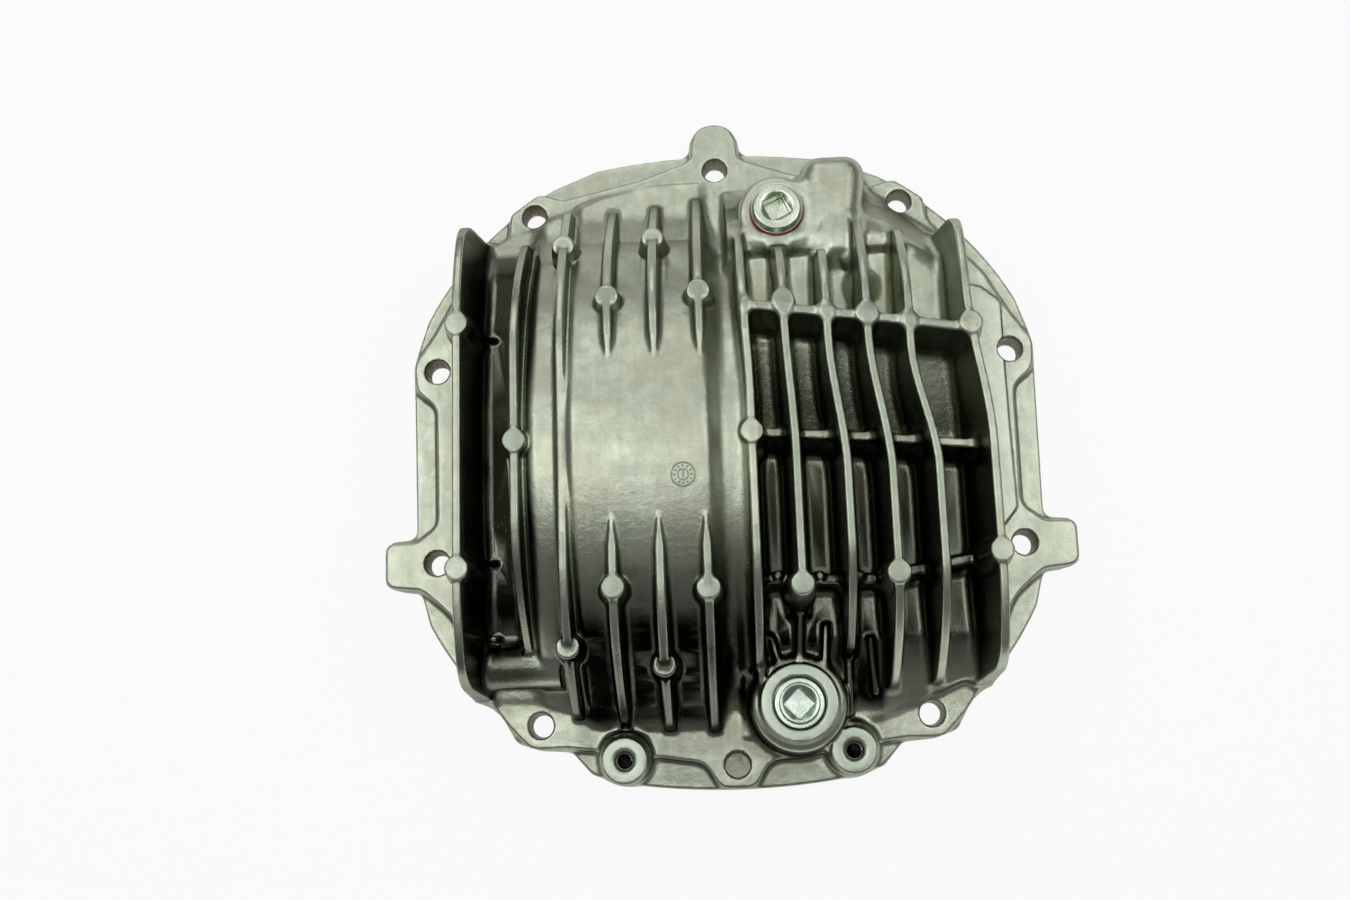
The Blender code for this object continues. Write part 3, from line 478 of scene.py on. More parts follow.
class Block:
    """A box of sample points that holds the distance to the metal at each."""

    REACH = 7.0
    FAR = 30.0

    def __init__(self, low, high, step):
        self.low = np.array(low, np.float32)
        self.step = step
        self.axes = [np.arange(a, b + step, step, dtype=np.float32) for a, b in zip(low, high)]
        self.field = np.full([len(a) for a in self.axes], self.FAR, np.float32)

    def part(self, low, high):
        """The slices near a box, and the three axes there, shaped to spread over the field."""
        where = []
        for axis, a, b in zip(self.axes, low, high):
            first = np.searchsorted(axis, a - self.REACH)
            where.append(slice(first, np.searchsorted(axis, b + self.REACH)))
        x, y, z = (axis[cut] for axis, cut in zip(self.axes, where))
        return tuple(where), x[:, None, None], y[None, :, None], z[None, None, :]

    def join(self, low, high, shape, fillet):
        where, x, y, z = self.part(low, high)
        self.field[where] = join_round(self.field[where], shape(x, y, z), fillet)

    def cut(self, low, high, shape, edge):
        where, x, y, z = self.part(low, high)
        self.field[where] = keep_round(self.field[where], -shape(x, y, z), edge)

    def read(self, points, grid=None):
        """The field, or another grid of its shape, read between its samples."""
        grid = self.field if grid is None else grid
        place = (points - self.low) / self.step
        limit = np.array(grid.shape) - 2
        cell = np.clip(np.floor(place).astype(int), 0, limit)
        share = place - cell
        total = np.zeros(len(points), np.float32)
        for corner in np.ndindex(2, 2, 2):
            weight = np.ones(len(points), np.float32)
            for k in range(3):
                weight *= share[:, k] if corner[k] else 1 - share[:, k]
            i, j, k = (cell + corner).T
            total += weight * grid[i, j, k]
        return total

    def outward(self, points):
        """Unit vectors out of the metal at points on its skin."""
        reach = self.step * 0.75
        sides = []
        for k in range(3):
            shift = np.zeros(3, np.float32)
            shift[k] = reach
            sides.append(self.read(points + shift) - self.read(points - shift))
        vectors = np.stack(sides, axis=1)
        return vectors / np.maximum(np.linalg.norm(vectors, axis=1, keepdims=True), 1e-9)

    def skin(self):
        """Points and four-sided faces of the surface at distance zero."""
        field = self.field
        inside = field < 0
        count = np.zeros([n - 1 for n in field.shape], np.uint8)
        for i, j, k in np.ndindex(2, 2, 2):
            count += inside[i:i - 1 or None, j:j - 1 or None, k:k - 1 or None]
        mixed = (count > 0) & (count < 8)
        cells = np.argwhere(mixed)
        number = np.full(mixed.shape, -1, np.int32)
        number[mixed] = np.arange(len(cells), dtype=np.int32)
        total = np.zeros((len(cells), 3), np.float32)
        hits = np.zeros(len(cells), np.float32)
        for axis in range(3):
            for corner in np.ndindex(2, 2, 2):
                if corner[axis]:
                    continue
                start = cells + corner
                end = start.copy()
                end[:, axis] += 1
                a = field[tuple(start.T)]
                b = field[tuple(end.T)]
                crossed = (a < 0) != (b < 0)
                share = np.where(crossed, a / np.where(crossed, a - b, 1), 0)
                for k in range(3):
                    total[:, k] += np.where(crossed, corner[k] + (share if k == axis else 0), 0)
                hits += crossed
        points = self.low + (cells + total / hits[:, None]) * self.step
        quads = []
        for axis in range(3):
            along = np.moveaxis(inside, axis, 0)
            numbers = np.moveaxis(number, axis, 0)
            first = along[:-1, 1:-1, 1:-1]
            changed = first != along[1:, 1:-1, 1:-1]
            i, j, k = np.argwhere(changed).T
            leaving = first[i, j, k]
            ring = np.stack([
                numbers[i, j, k],
                numbers[i, j + 1, k],
                numbers[i, j + 1, k + 1],
                numbers[i, j, k + 1],
            ], axis=1)
            turned_round = leaving if axis == 1 else ~leaving
            ring[turned_round] = ring[turned_round][:, ::-1]
            quads.append(ring)
        return points, np.concatenate(quads)


def fin_path(y, upper, lower, bend):
    """The fins on the right bend outward between two heights of the cover."""
    share = np.clip((bend[0] - y) / (bend[0] - bend[1]), 0, 1)
    return upper + (lower - upper) * share * share * (3 - 2 * share)


def tip_height(y, upper, lower, tip):
    """A fin's tip is level between its two flats and falls away in a parabola past them."""
    flat = np.where(y > 0, upper[0], lower[0])
    end = np.where(y > 0, upper[1], lower[1])
    share = np.maximum(0, np.abs(y) - flat) / (end - flat)
    return tip - (tip - BAND_HEIGHT) * share * share


def drum_height(y):
    """Height of the drum's crown, far below where there is none."""
    return DRUM_CREST - DRUM_R + np.sqrt(np.maximum(DRUM_R**2 - (y - GEAR_AXIS_Y) ** 2, 0))


def fin_shape(fin, sizes):
    name, x_upper, x_lower, top_y, bottom_y, upper, lower, bend = fin
    plate = math.tan(sizes.plate_draft)
    draft = math.tan(sizes.drum_draft if name in DRUM_FINS else sizes.draft)
    lean_left = plate if name == "outer_right" else draft
    lean_right = plate if name == "outer_left" else draft
    nose = 9.0 if name.startswith("outer") else 2.0
    end_lean = math.tan(sizes.end_draft)
    width = mm(sizes.tip_width) / 2
    tip_z = mm(sizes.tip_height)
    low = BAND_HEIGHT + 1

    def shape(x, y, z):
        centre = fin_path(y, x_upper, x_lower, bend)
        tip = np.maximum(tip_height(y, upper, lower, tip_z), low)
        half = width
        if name in DRUM_FINS:
            rise = tip - drum_height(y)
            tip = tip - np.where(y > 0, 1.8, 0.6) * (1 - np.clip(rise / 8, 0, 1))
            half = width * np.clip(rise / 5, 0.12, 1) ** 0.7
        turn = 1 / np.sqrt(1 + np.gradient(centre, axis=1) ** 2 / np.gradient(y, axis=1) ** 2)
        fall = 1 / np.sqrt(1 + np.gradient(tip, axis=1) ** 2 / np.gradient(y, axis=1) ** 2)
        below = np.maximum(tip - z, 0)
        left = (centre - half - below * lean_left - x) * turn
        right = (x - centre - half - below * lean_right) * turn
        lean = np.maximum(z - low, 0) * end_lean
        ends = np.maximum(y - top_y + lean, bottom_y - y + lean)
        profile = keep_round((z - tip) * fall, ends, nose)
        return keep_round(np.maximum(left, right), profile, mm(sizes.edge))

    return shape


def column_shape(centre, top, top_r, low_r, low, edge):
    """An upright round boss whose side spreads from top_r at its top to low_r at height low."""
    spread = (low_r - top_r) / (top - low)

    def shape(x, y, z):
        across = np.sqrt((x - centre[0]) ** 2 + (y - centre[1]) ** 2)
        side = (across - top_r - np.clip(top - z, 0, top - low) * spread) / math.hypot(1, spread)
        return keep_round(side, z - top, edge)

    return shape


def hole_shape(centre, low, high, low_r, high_r):
    slope = (high_r - low_r) / (high - low)

    def shape(x, y, z):
        across = np.sqrt((x - centre[0]) ** 2 + (y - centre[1]) ** 2)
        side = (across - low_r - (z - low) * slope) / math.hypot(1, slope)
        return np.maximum(side, np.maximum(low - z, z - high))

    return shape


def wall_shape(path, width, draft, edge, along=0):
    """A straight-sided rib through (x, y, top) points, along X or along Y."""
    order = sorted(path, key=lambda p: p[along])
    stations = [p[along] for p in order]
    offsets = [p[1 - along] for p in order]
    tops = [p[2] for p in order]

    def shape(x, y, z):
        run, side = (x, y) if along == 0 else (y, x)
        middle = np.interp(run, stations, offsets).astype(np.float32)
        top = np.interp(run, stations, tops).astype(np.float32)
        across = np.abs(side - middle) - width / 2 - np.maximum(top - z, 0) * math.tan(draft)
        ends = np.maximum(stations[0] - run, run - stations[-1])
        return keep_round(keep_round(across, z - top, edge), ends, edge)

    return shape


def breather_outline():
    return rounded([
        (37.6, 124.6, 8),
        (37.2, 113),
        (39.6, 99, 10),
        (42.0, 84),
        (44.5, 76.5, 4),
        (57.5, 77, 4),
        (60.2, 87.5),
        (62.0, 98.3),
        (64.0, 113),
        (64.4, 124.8, 8),
    ])


def breather_shape(x, y, z):
    """A flat-topped bulge with soft edges that narrows towards the floor."""
    plan = outline_distance(breather_outline(), x[:, 0, 0], y[0, :, 0])[:, :, None]
    side = plan - np.maximum(BREATHER_TOP - z, 0) * 0.07
    return keep_round(side, z - BREATHER_TOP, 8.0)


def gusset_shape(x, y, z):
    """The web that widens from a fin's end into the fill boss."""
    share = np.clip((y - 74) / 12, 0, 1)
    half = 2.0 + 3.5 * share * share
    side = np.abs(x - FILL[0]) - half - np.maximum(FILL_FACE - z, 0) * 0.05
    top = 52.0 - 8.0 * np.clip((y - 75) / 9, 0, 1)
    return keep_round(keep_round(side, (z - top) * 0.75, 1.2), np.maximum(72 - y, y - 90), 1.0)


def tube_shape(x, y, z):
    across = np.sqrt((y - TUBE_AXIS[0]) ** 2 + (z - TUBE_AXIS[1]) ** 2) - TUBE_R
    return np.maximum(across, np.maximum(TUBE_ENDS[0] - x, x - TUBE_ENDS[1]))


def plate_shape(outline, block_part, low, high, edge, low_edge):
    """A flat plate with a plan outline and rounded edges."""
    x, y, z = block_part[1:]
    plan = outline_distance(outline, x[:, 0, 0], y[0, :, 0])[:, :, None]
    return keep_round(keep_round(plan, z - high, edge), low - z, low_edge)


def housing_field(block_part, sizes):
    """Distance to the gear housing with its underside left open."""
    x, y, z = block_part[1:]
    rows, heights = y[0, :, 0], z[0, 0, :]

    def form(profile, left, right, edge, left_lean=0.0, right_lean=0.0):
        top = outline_distance(profile, rows, heights)[None]
        depth = np.clip(-top, 0, STEP_DROP + 2)
        left_side = (left - x - left_lean * depth) / math.hypot(1, left_lean)
        right_side = (x - right - right_lean * depth) / math.hypot(1, right_lean)
        return keep_round(top, np.maximum(left_side, right_side), edge)

    shoulder = mm(sizes.shoulder)
    steps = form(drum_profile(STEP_DROP), STEP_LEFT_X, STEP_RIGHT_X, 2.0, STEP_SIDE_LEAN)
    drum = form(drum_profile(0), DRUM_LEFT_X, DRUM_RIGHT_X, shoulder, DRUM_SIDE_LEAN, DRUM_SIDE_LEAN)
    housing = join_round(drum, steps, 2.0)
    housing = join_round(housing, form(groove_profile(), HOUSING_LEFT_X - 9, STEP_LEFT_X, 1.0), 5.0)
    pocket = mm(sizes.pocket_fillet)
    floor = form(floor_profile(), STEP_RIGHT_X - 5, HOUSING_LOWER_X + 9, 1.0)
    a, b, c, d = CORNER_CUT
    corner = (a * x + b * y + c * z - d) / math.hypot(a, b, c)
    floor = keep_round(floor, corner, 5.0)
    housing = join_round(housing, floor, pocket)
    plan = outline_distance(housing_outline(), x[:, 0, 0], rows)[:, :, None]
    return keep_round(housing, plan, 2.5)


def add_flange(block):
    """The rim, the raised band and the machined patch."""
    low = (-BODY_R - 3, BODY_BOTTOM_Y, 0)
    high = (BODY_R + 3, TAB_TOP_Y, BAND_HEIGHT)
    part = block.part(low, high)
    field = block.field[part[0]]
    rim = plate_shape(flange_outline(), part, 0, RIM_THICKNESS, 1.0, 0.4)
    plan = outline_distance(flange_outline(), part[1][:, 0, 0], part[2][0, :, 0])[:, :, None]
    band = plate_shape(band_outline(), part, 1.5, BAND_HEIGHT, 1.3, 0.3)
    raised = plate_shape(rounded(PATCH), part, 4, PATCH_HEIGHT, 0.4, 0.3)
    flange = np.maximum(join_round(rim, band, 2.0), plan)
    block.field[part[0]] = np.minimum(field, join_round(flange, raised, 0.4))


def add_bosses(block, sizes):
    foot = mm(sizes.foot_fillet)

    def column(centre, top, top_r, low_r, edge, fillet):
        shape = column_shape(centre, top, top_r, low_r, BAND_HEIGHT, edge)
        low = (centre[0] - low_r, centre[1] - low_r, 0)
        block.join(low, (centre[0] + low_r, centre[1] + low_r, top), shape, fillet)

    column(FILL, FILL_FACE, FILL_BOSS_R - 0.4, FILL_BOSS_R + 2.4, 2.6, foot + 1)
    column(DRAIN, DRAIN_FACE - 5, DRAIN_BOSS_R + 3.4, DRAIN_BOSS_R + 5.4, 2.4, foot)
    column(DRAIN, DRAIN_FACE, DRAIN_BOSS_R, DRAIN_BOSS_R + 1, 0.7, 1.2)
    for centre in TAPPED:
        shoulder = (centre[0], centre[1] + 1.3)
        column(shoulder, TAPPED_FACE - 4, TAPPED_BOSS_R + 1.2, TAPPED_BOSS_R + 1.6, 1.6, foot)
        column(centre, TAPPED_FACE, TAPPED_BOSS_R, TAPPED_BOSS_R + 0.4, 0.5, 1.0)
    ball = 13.0
    x, y = FLOOR_BOSS
    sunk = UPPER_FLOOR + 3.0 - ball

    def dome(px, py, pz):
        return np.sqrt((px - x) ** 2 + (py - y) ** 2 + np.maximum(pz - sunk, 0) ** 2) - ball

    block.join((x - ball, y - ball, sunk), (x + ball, y + ball, UPPER_FLOOR + 3), dome, 1.0)
    column(FLOOR_BUMP, UPPER_FLOOR + 2.4, 2.0, 4.2, 1.4, 2.0)
    column(GROOVE_BUMP, DRUM_CREST - STEP_DROP - 4, 3.6, 5.6, 2.0, 1.5)
    block.join((36, 76, 0), (66, 124, BREATHER_TOP), breather_shape, foot * 2)
    block.join((FILL[0] - 6, 73, 20), (FILL[0] + 6, 90, 52), gusset_shape, foot)
    low = (TUBE_ENDS[0], TUBE_AXIS[0] - TUBE_R, 0)
    block.join(low, (TUBE_ENDS[1], TUBE_AXIS[0] + TUBE_R, TUBE_AXIS[1] + TUBE_R), tube_shape, 2.5)


def add_fins(block, sizes):
    """The fins, their ejector pads, the cross ribs and the webs round the drain boss."""
    draft = sizes.draft
    edge = mm(sizes.edge)
    pocket = mm(sizes.pocket_fillet)
    left_fillet = mm(sizes.left_fillet)
    tip_z = mm(sizes.tip_height)
    by_name = {fin[0]: fin for fin in FINS}
    for fin in FINS:
        name, x_upper, x_lower, top_y, bottom_y = fin[:5]
        fillet = pocket if x_upper > 0 else left_fillet
        if name.startswith("outer"):
            fillet = mm(sizes.plate_fillet)
        if name in DRUM_FINS:
            ys = block.part((x_upper - 8, bottom_y, 0), (x_upper + 8, top_y, tip_z))[2]
            rise = tip_height(ys, fin[5], fin[6], tip_z) - drum_height(ys)
            fillet = np.clip(rise * 0.6, 0.3, fillet)
        low = (min(x_upper, x_lower) - 8, bottom_y, 0)
        block.join(low, (max(x_upper, x_lower) + 8, top_y, tip_z), fin_shape(fin, sizes), fillet)
    for path in CROSS_RIBS:
        ys = [p[1] for p in path]
        shape = wall_shape(path, CROSS_RIB_WIDTH, draft, edge)
        block.join((path[0][0], min(ys) - 4, 0), (path[-1][0], max(ys) + 4, 72), shape, pocket)
    for path in DRAIN_WEBS:
        xs = [p[0] for p in path]
        shape = wall_shape(path, DRAIN_WEB_WIDTH, draft, 1.3, along=1)
        low = (min(xs) - 4, path[1][1], 0)
        block.join(low, (max(xs) + 4, path[0][1], 42), shape, left_fillet)
    for y in PLATE_KNOB_Y:
        path = ((-106.5, y, 67), (-99.5, y, 35))
        block.join((-107, y - 3, 0), (-99, y + 3, 69), wall_shape(path, 1.6, 0, 0.7), 1.0)
        knob = column_shape((-98.6, y), 35, 1.2, 2.0, 14, 0.9)
        block.join((-101, y - 3, 14), (-96, y + 3, 35), knob, 1.4)
    for centre in RIB_KNOBS:
        shape = column_shape(centre, CROSS_RIBS[2][0][2] + 1, 2.2, 3.2, 20, 1.2)
        block.join((centre[0] - 3, centre[1] - 3, 20), (centre[0] + 3, centre[1] + 3, 48), shape, 1.2)
    for name, y in PADS:
        fin = by_name[name]
        x = float(fin_path(np.float32(y), fin[1], fin[2], fin[7]))
        top = float(tip_height(np.float32(y), fin[5], fin[6], tip_z)) + PAD_RISE
        shape = column_shape((x, y), top, PAD_R, PAD_R + 1.5, top - 13, 0.4)
        block.join((x - 7, y - 7, 0), (x + 7, y + 7, top), shape, 1.2)


def add_holes(block):
    edge = 0.5
    holes = [(0, BOLT_TOP_Y)]
    for sign_x in (-1, 1):
        for sign_y in (-1, 1):
            holes.append((sign_x * BOLT_SIDE[0], sign_y * BOLT_SIDE[1]))
            holes.append((sign_x * BOLT_DIAGONAL[0], sign_y * BOLT_DIAGONAL[1]))

    def drill(centre, low, high, low_r, high_r, rim):
        reach = max(low_r, high_r)
        shape = hole_shape(centre, low, high, low_r, high_r)
        low_corner = (centre[0] - reach, centre[1] - reach, low)
        block.cut(low_corner, (centre[0] + reach, centre[1] + reach, high), shape, rim)

    slope = (BOLT_HOLE_TOP_R - BOLT_HOLE_BOTTOM_R) / BAND_HEIGHT * 5
    for centre in holes:
        drill(centre, -5, BAND_HEIGHT + 5, BOLT_HOLE_BOTTOM_R - slope, BOLT_HOLE_TOP_R + slope, edge)
    blind = (0, -BOLT_TOP_Y)
    drill(blind, BAND_HEIGHT - 0.8, BAND_HEIGHT + 1.0, 5.5, 5.7, 0.2)
    drill(FILL, 5, FILL_FACE + 5, FILL_BORE_R, FILL_BORE_R, edge)
    drill(DRAIN, 5, DRAIN_FACE + 5, DRAIN_BORE_R, DRAIN_BORE_R, edge)
    drill(DRAIN, DRAIN_FACE - 1.6, DRAIN_FACE + 5, DRAIN_SINK_R - 0.4, DRAIN_SINK_R + 0.4, 0.25)
    for centre in TAPPED:
        drill(centre, TAPPED_HOLE_FLOOR, TAPPED_FACE + 5, TAPPED_HOLE_R, TAPPED_HOLE_R, 0.2)
        drill(centre, TAPPED_FACE - 1.2, TAPPED_FACE + 1.2, TAPPED_HOLE_R, TAPPED_HOLE_R + 2.4, 0.2)


def cone_shape(centre, radius, height, slope):
    """Distance to the space over a cone that opens upward, slope being its rise over its run."""
    def shape(x, y, z):
        across = np.sqrt((x - centre[0]) ** 2 + (y - centre[1]) ** 2)
        return ((across - radius) * slope + height - z) / math.hypot(1, slope)

    return shape


def square_shape(centre, half, low, turn):
    """A square recess with small corners, turned about its axis."""
    c, s = math.cos(math.radians(turn)), math.sin(math.radians(turn))
    corner = 0.5

    def shape(x, y, z):
        u = np.abs((x - centre[0]) * c + (y - centre[1]) * s) - half + corner
        v = np.abs((y - centre[1]) * c - (x - centre[0]) * s) - half + corner
        outside = np.sqrt(np.maximum(u, 0) ** 2 + np.maximum(v, 0) ** 2)
        side = outside + np.minimum(np.maximum(u, v), 0) - corner
        return np.maximum(side, low - z)

    return shape


def disc(block, centre, low, high, radius, edge=0.3, low_edge=0.3):
    """Joins an upright cylinder with rounded edges to a block."""
    def shape(x, y, z):
        across = np.sqrt((x - centre[0]) ** 2 + (y - centre[1]) ** 2) - radius
        return keep_round(keep_round(across, z - high, edge), low - z, low_edge)

    reach = (centre[0] - radius, centre[1] - radius, low)
    block.join(reach, (centre[0] + radius, centre[1] + radius, high), shape, 0.05)


def plug_block(sizes, centre, radius, low, high):
    step = mm(sizes.sampling)
    margin = 3 * step
    x, y = centre
    return Block((x - radius - margin, y - radius - margin, low - margin),
                 (x + radius + margin, y + radius + margin, high + margin), step)


def fill_plug_block(sizes):
    """A low round head with a sunk square, over a shank that carries the thread."""
    block = plug_block(sizes, FILL, FILL_HEAD_R, FILL_PLUG_LOW, FILL_TOP)
    disc(block, FILL, FILL_SEAT, FILL_TOP, FILL_HEAD_R, 0.2)
    disc(block, FILL, FILL_PLUG_LOW, FILL_SEAT + 1, FILL_ROOT_R, 0.2, 0.9)
    everything = ((FILL[0] - 12, FILL[1] - 12, 30), (FILL[0] + 12, FILL[1] + 12, 51))
    block.cut(*everything, cone_shape(FILL, FILL_FLAT_R, FILL_TOP, -0.93), 0.2)
    block.cut(*everything, cone_shape(FILL, FILL_CONE_R, FILL_TOP, 0.577), 0.25)
    half = mm(sizes.square) / 2
    block.cut(*everything, square_shape(FILL, half, FILL_TOP - 7.5, SQUARE_TURN_FILL), 0.15)
    return block


def drain_plug_block(sizes):
    """A headless plug with a raised ring round its dished face, and the magnet's socket below."""
    block = plug_block(sizes, DRAIN, DRAIN_PLUG_R, DRAIN_PLUG_LOW, DRAIN_TOP)
    disc(block, DRAIN, DRAIN_PLUG_LOW, DRAIN_TOP - 0.7, DRAIN_PLUG_R, 0.5, 0.9)
    disc(block, DRAIN, DRAIN_PLUG_LOW + 4, DRAIN_TOP, DRAIN_RING_R, 0.4)
    everything = ((DRAIN[0] - 11, DRAIN[1] - 11, 15), (DRAIN[0] + 11, DRAIN[1] + 11, 34))
    block.cut(*everything, cone_shape(DRAIN, DRAIN_CUP_R, DRAIN_TOP, 0.577), 0.25)
    half = mm(sizes.square) / 2
    block.cut(*everything, square_shape(DRAIN, half, DRAIN_TOP - 7.2, SQUARE_TURN_DRAIN), 0.15)
    socket = hole_shape(DRAIN, DRAIN_PLUG_LOW - 3, DRAIN_PLUG_LOW + 3, MAGNET_SOCKET_R, MAGNET_SOCKET_R)
    block.cut(*everything, socket, 0.2)
    return block


def seal_block(sizes):
    """A flat ring whose outer edge bulges out from under the head."""
    block = plug_block(sizes, FILL, SEAL_R, SEAL_LOW, SEAL_HIGH)
    disc(block, FILL, SEAL_LOW, SEAL_HIGH, SEAL_R, 0.7, 0.7)
    everything = ((FILL[0] - 12, FILL[1] - 12, 42), (FILL[0] + 12, FILL[1] + 12, 48))
    block.cut(*everything, hole_shape(FILL, 40, 50, FILL_BORE_R, FILL_BORE_R), 0.2)
    return block


def magnet_block(sizes):
    block = plug_block(sizes, DRAIN, MAGNET_R, MAGNET_LOW, MAGNET_HIGH)
    disc(block, DRAIN, MAGNET_LOW, MAGNET_HIGH, MAGNET_R, 0.3, 0.5)
    return block


def casting_block(sizes):
    """The distance to the whole casting, on a grid."""
    step = mm(sizes.sampling)
    block = Block((-154, -146, -2.2), (154, 159, DRUM_CREST + 2), step)
    add_flange(block)
    part = block.part((HOUSING_LEFT_X, -124, -2), (HOUSING_LOWER_X, 124, DRUM_CREST))
    where, x, y, z = part
    housing = housing_field(part, sizes)
    solid = keep_round(housing, BAND_HEIGHT / 2 - z, 0.2)
    block.field[where] = join_round(block.field[where], solid, mm(sizes.foot_fillet))
    add_bosses(block, sizes)
    add_fins(block, sizes)
    block.field = keep_round(block.field, -block.axes[2][None, None, :], 0.3)
    wall = mm(sizes.wall)
    opening = outline_distance(opening_outline(wall), x[:, 0, 0], y[0, :, 0])[:, :, None]
    hollow = join_round(housing + wall, z - (BAND_HEIGHT - wall), 4.0)
    hollow = keep_round(hollow, opening, 2.0)
    block.field[where] = keep_round(block.field[where], -hollow, 0.5)
    add_holes(block)
    return block


def openness(block, points, outward, rays, reach=70.0):
    """The share of the open sky that each point on the skin sees past the metal round it."""
    turn = math.pi * (3 - math.sqrt(5))
    total = np.zeros(len(points), np.float32)
    clear = np.zeros(len(points), np.float32)
    last = np.array(block.field.shape) - 1
    for i in range(rays):
        height = 1 - (2 * i + 1) / rays
        across = math.sqrt(1 - height * height)
        ray = np.array((across * math.cos(turn * i), across * math.sin(turn * i), height), np.float32)
        weight = outward @ ray
        live = np.flatnonzero(weight > 0.05)
        total[live] += weight[live]
        travel = np.full(len(live), 1.5, np.float32)
        while len(live):
            spot = points[live] + outward[live] + ray * travel[:, None]
            cell = np.rint((spot - block.low) / block.step).astype(np.int32)
            out = ((cell < 0) | (cell > last)).any(axis=1) | (travel > reach)
            clear[live[out]] += weight[live[out]]
            i_x, i_y, i_z = np.clip(cell, 0, last).T
            gap = block.field[i_x, i_y, i_z]
            keep = ~out & (gap > 0)
            live = live[keep]
            travel = travel[keep] + np.clip(gap[keep], 1.0, 6.0)
    return clear / np.maximum(total, 1e-3)


def bend(block, points, reach):
    """How sharply the skin turns: above a half on outer edges, below it in fillets."""
    total = -6 * block.read(points)
    for k in range(3):
        for sign in (-reach, reach):
            shift = np.zeros(3, np.float32)
            shift[k] = sign
            total += block.read(points + shift)
    return np.clip(0.5 + total / reach**2, 0, 1)


def place_points(points):
    """From millimetres round the pattern's centre to metres in the part's frame."""
    return points * MM + np.array((0, PATTERN_Y, 0), np.float32)


def mesh_from(name, points, faces):
    mesh = bpy.data.meshes.new(name)
    mesh.vertices.add(len(points))
    mesh.vertices.foreach_set("co", points.astype(np.float32).ravel())
    sides = faces.shape[1]
    mesh.loops.add(faces.size)
    mesh.loops.foreach_set("vertex_index", faces.astype(np.int32).ravel())
    mesh.polygons.add(len(faces))
    mesh.polygons.foreach_set("loop_start", np.arange(0, faces.size, sides, dtype=np.int32))
    mesh.update(calc_edges=True)
    return mesh


def baked(obj):
    """Swaps an object's mesh for what its modifiers make of it, and removes them."""
    graph = bpy.context.evaluated_depsgraph_get()
    mesh = bpy.data.meshes.new_from_object(obj.evaluated_get(graph))
    obj.modifiers.clear()
    obj.data = mesh
    return obj


def thinned(name, points, faces, triangles):
    """A mesh object whose faces are collapsed to a number of triangles."""
    obj = bpy.data.objects.new(name, mesh_from(name, points, faces))
    bpy.context.scene.collection.objects.link(obj)
    thin = obj.modifiers.new("fewer faces", "DECIMATE")
    thin.ratio = min(1, triangles / (2 * len(faces)))
    thin.use_collapse_triangulate = True
    return baked(obj)


def skinned(name, block, triangles):
    """The skin of a block as a smooth mesh object in metres, and its points in millimetres."""
    points, faces = block.skin()
    obj = thinned(name, points * MM, faces, triangles)
    count = len(obj.data.vertices)
    points = np.empty(count * 3, np.float32)
    obj.data.vertices.foreach_get("co", points)
    points = points.reshape(-1, 3) / MM
    obj.data.vertices.foreach_set("co", place_points(points).ravel())
    obj.data.polygons.foreach_set("use_smooth", np.ones(len(obj.data.polygons), bool))
    obj.data.update()
    outward = block.outward(points)
    obj.data.normals_split_custom_set_from_vertices(outward)
    return obj, points, outward


class Growth:
    """A node tree for a Geometry Nodes modifier, with named inputs."""

    def __init__(self, name, sizes):
        self.tree = bpy.data.node_groups.new(name, "GeometryNodeTree")
        self.sizes = sizes
        sockets = self.tree.interface
        sockets.new_socket("Geometry", in_out="OUTPUT", socket_type="NodeSocketGeometry")
        for label in sizes:
            sockets.new_socket(label, in_out="INPUT", socket_type="NodeSocketFloat")
        sockets.new_socket("Finish", in_out="INPUT", socket_type="NodeSocketMaterial")
        self.given = self.tree.nodes.new("NodeGroupInput").outputs

    def node(self, kind, inputs=None, settings=None):
        made = self.tree.nodes.new(kind)
        for key, value in (settings or {}).items():
            setattr(made, key, value)
        for key, value in (inputs or {}).items():
            if isinstance(value, bpy.types.NodeSocket):
                self.tree.links.new(value, made.inputs[key])
            else:
                made.inputs[key].default_value = value
        return made.outputs[0]

    def math(self, operation, first, second):
        return self.node("ShaderNodeMath", {0: first, 1: second}, {"operation": operation})

    def swept(self, curve, profile):
        """A profile carried along a curve, with both ends closed."""
        inputs = {"Curve": curve, "Profile Curve": profile, "Fill Caps": True}
        return self.node("GeometryNodeCurveToMesh", inputs)

    def together(self, parts):
        joined = self.tree.nodes.new("GeometryNodeJoinGeometry")
        for part in parts:
            self.tree.links.new(part, joined.inputs[0])
        return joined.outputs[0]

    def made(self, geometry, place, turn, material):
        """Moves the geometry to its place and makes a plain mesh object of it."""
        inputs = {"Geometry": geometry, "Translation": place, "Rotation": turn}
        moved = self.node("GeometryNodeTransform", inputs)
        real = self.node("GeometryNodeRealizeInstances", {"Geometry": moved})
        coated = self.node("GeometryNodeSetMaterial", {"Geometry": real, "Material": self.given["Finish"]})
        end = self.tree.nodes.new("NodeGroupOutput")
        self.tree.links.new(coated, end.inputs[0])
        name = self.tree.name
        obj = bpy.data.objects.new(name, bpy.data.meshes.new(name))
        bpy.context.scene.collection.objects.link(obj)
        modifier = obj.modifiers.new(name, "NODES")
        modifier.node_group = self.tree
        values = dict(self.sizes, Finish=material)
        for item in self.tree.interface.items_tree:
            if item.in_out == "INPUT":
                modifier[item.identifier] = values[item.name]
        baked(obj)
        obj.data.polygons.foreach_set("use_smooth", np.ones(len(obj.data.polygons), bool))
        return obj


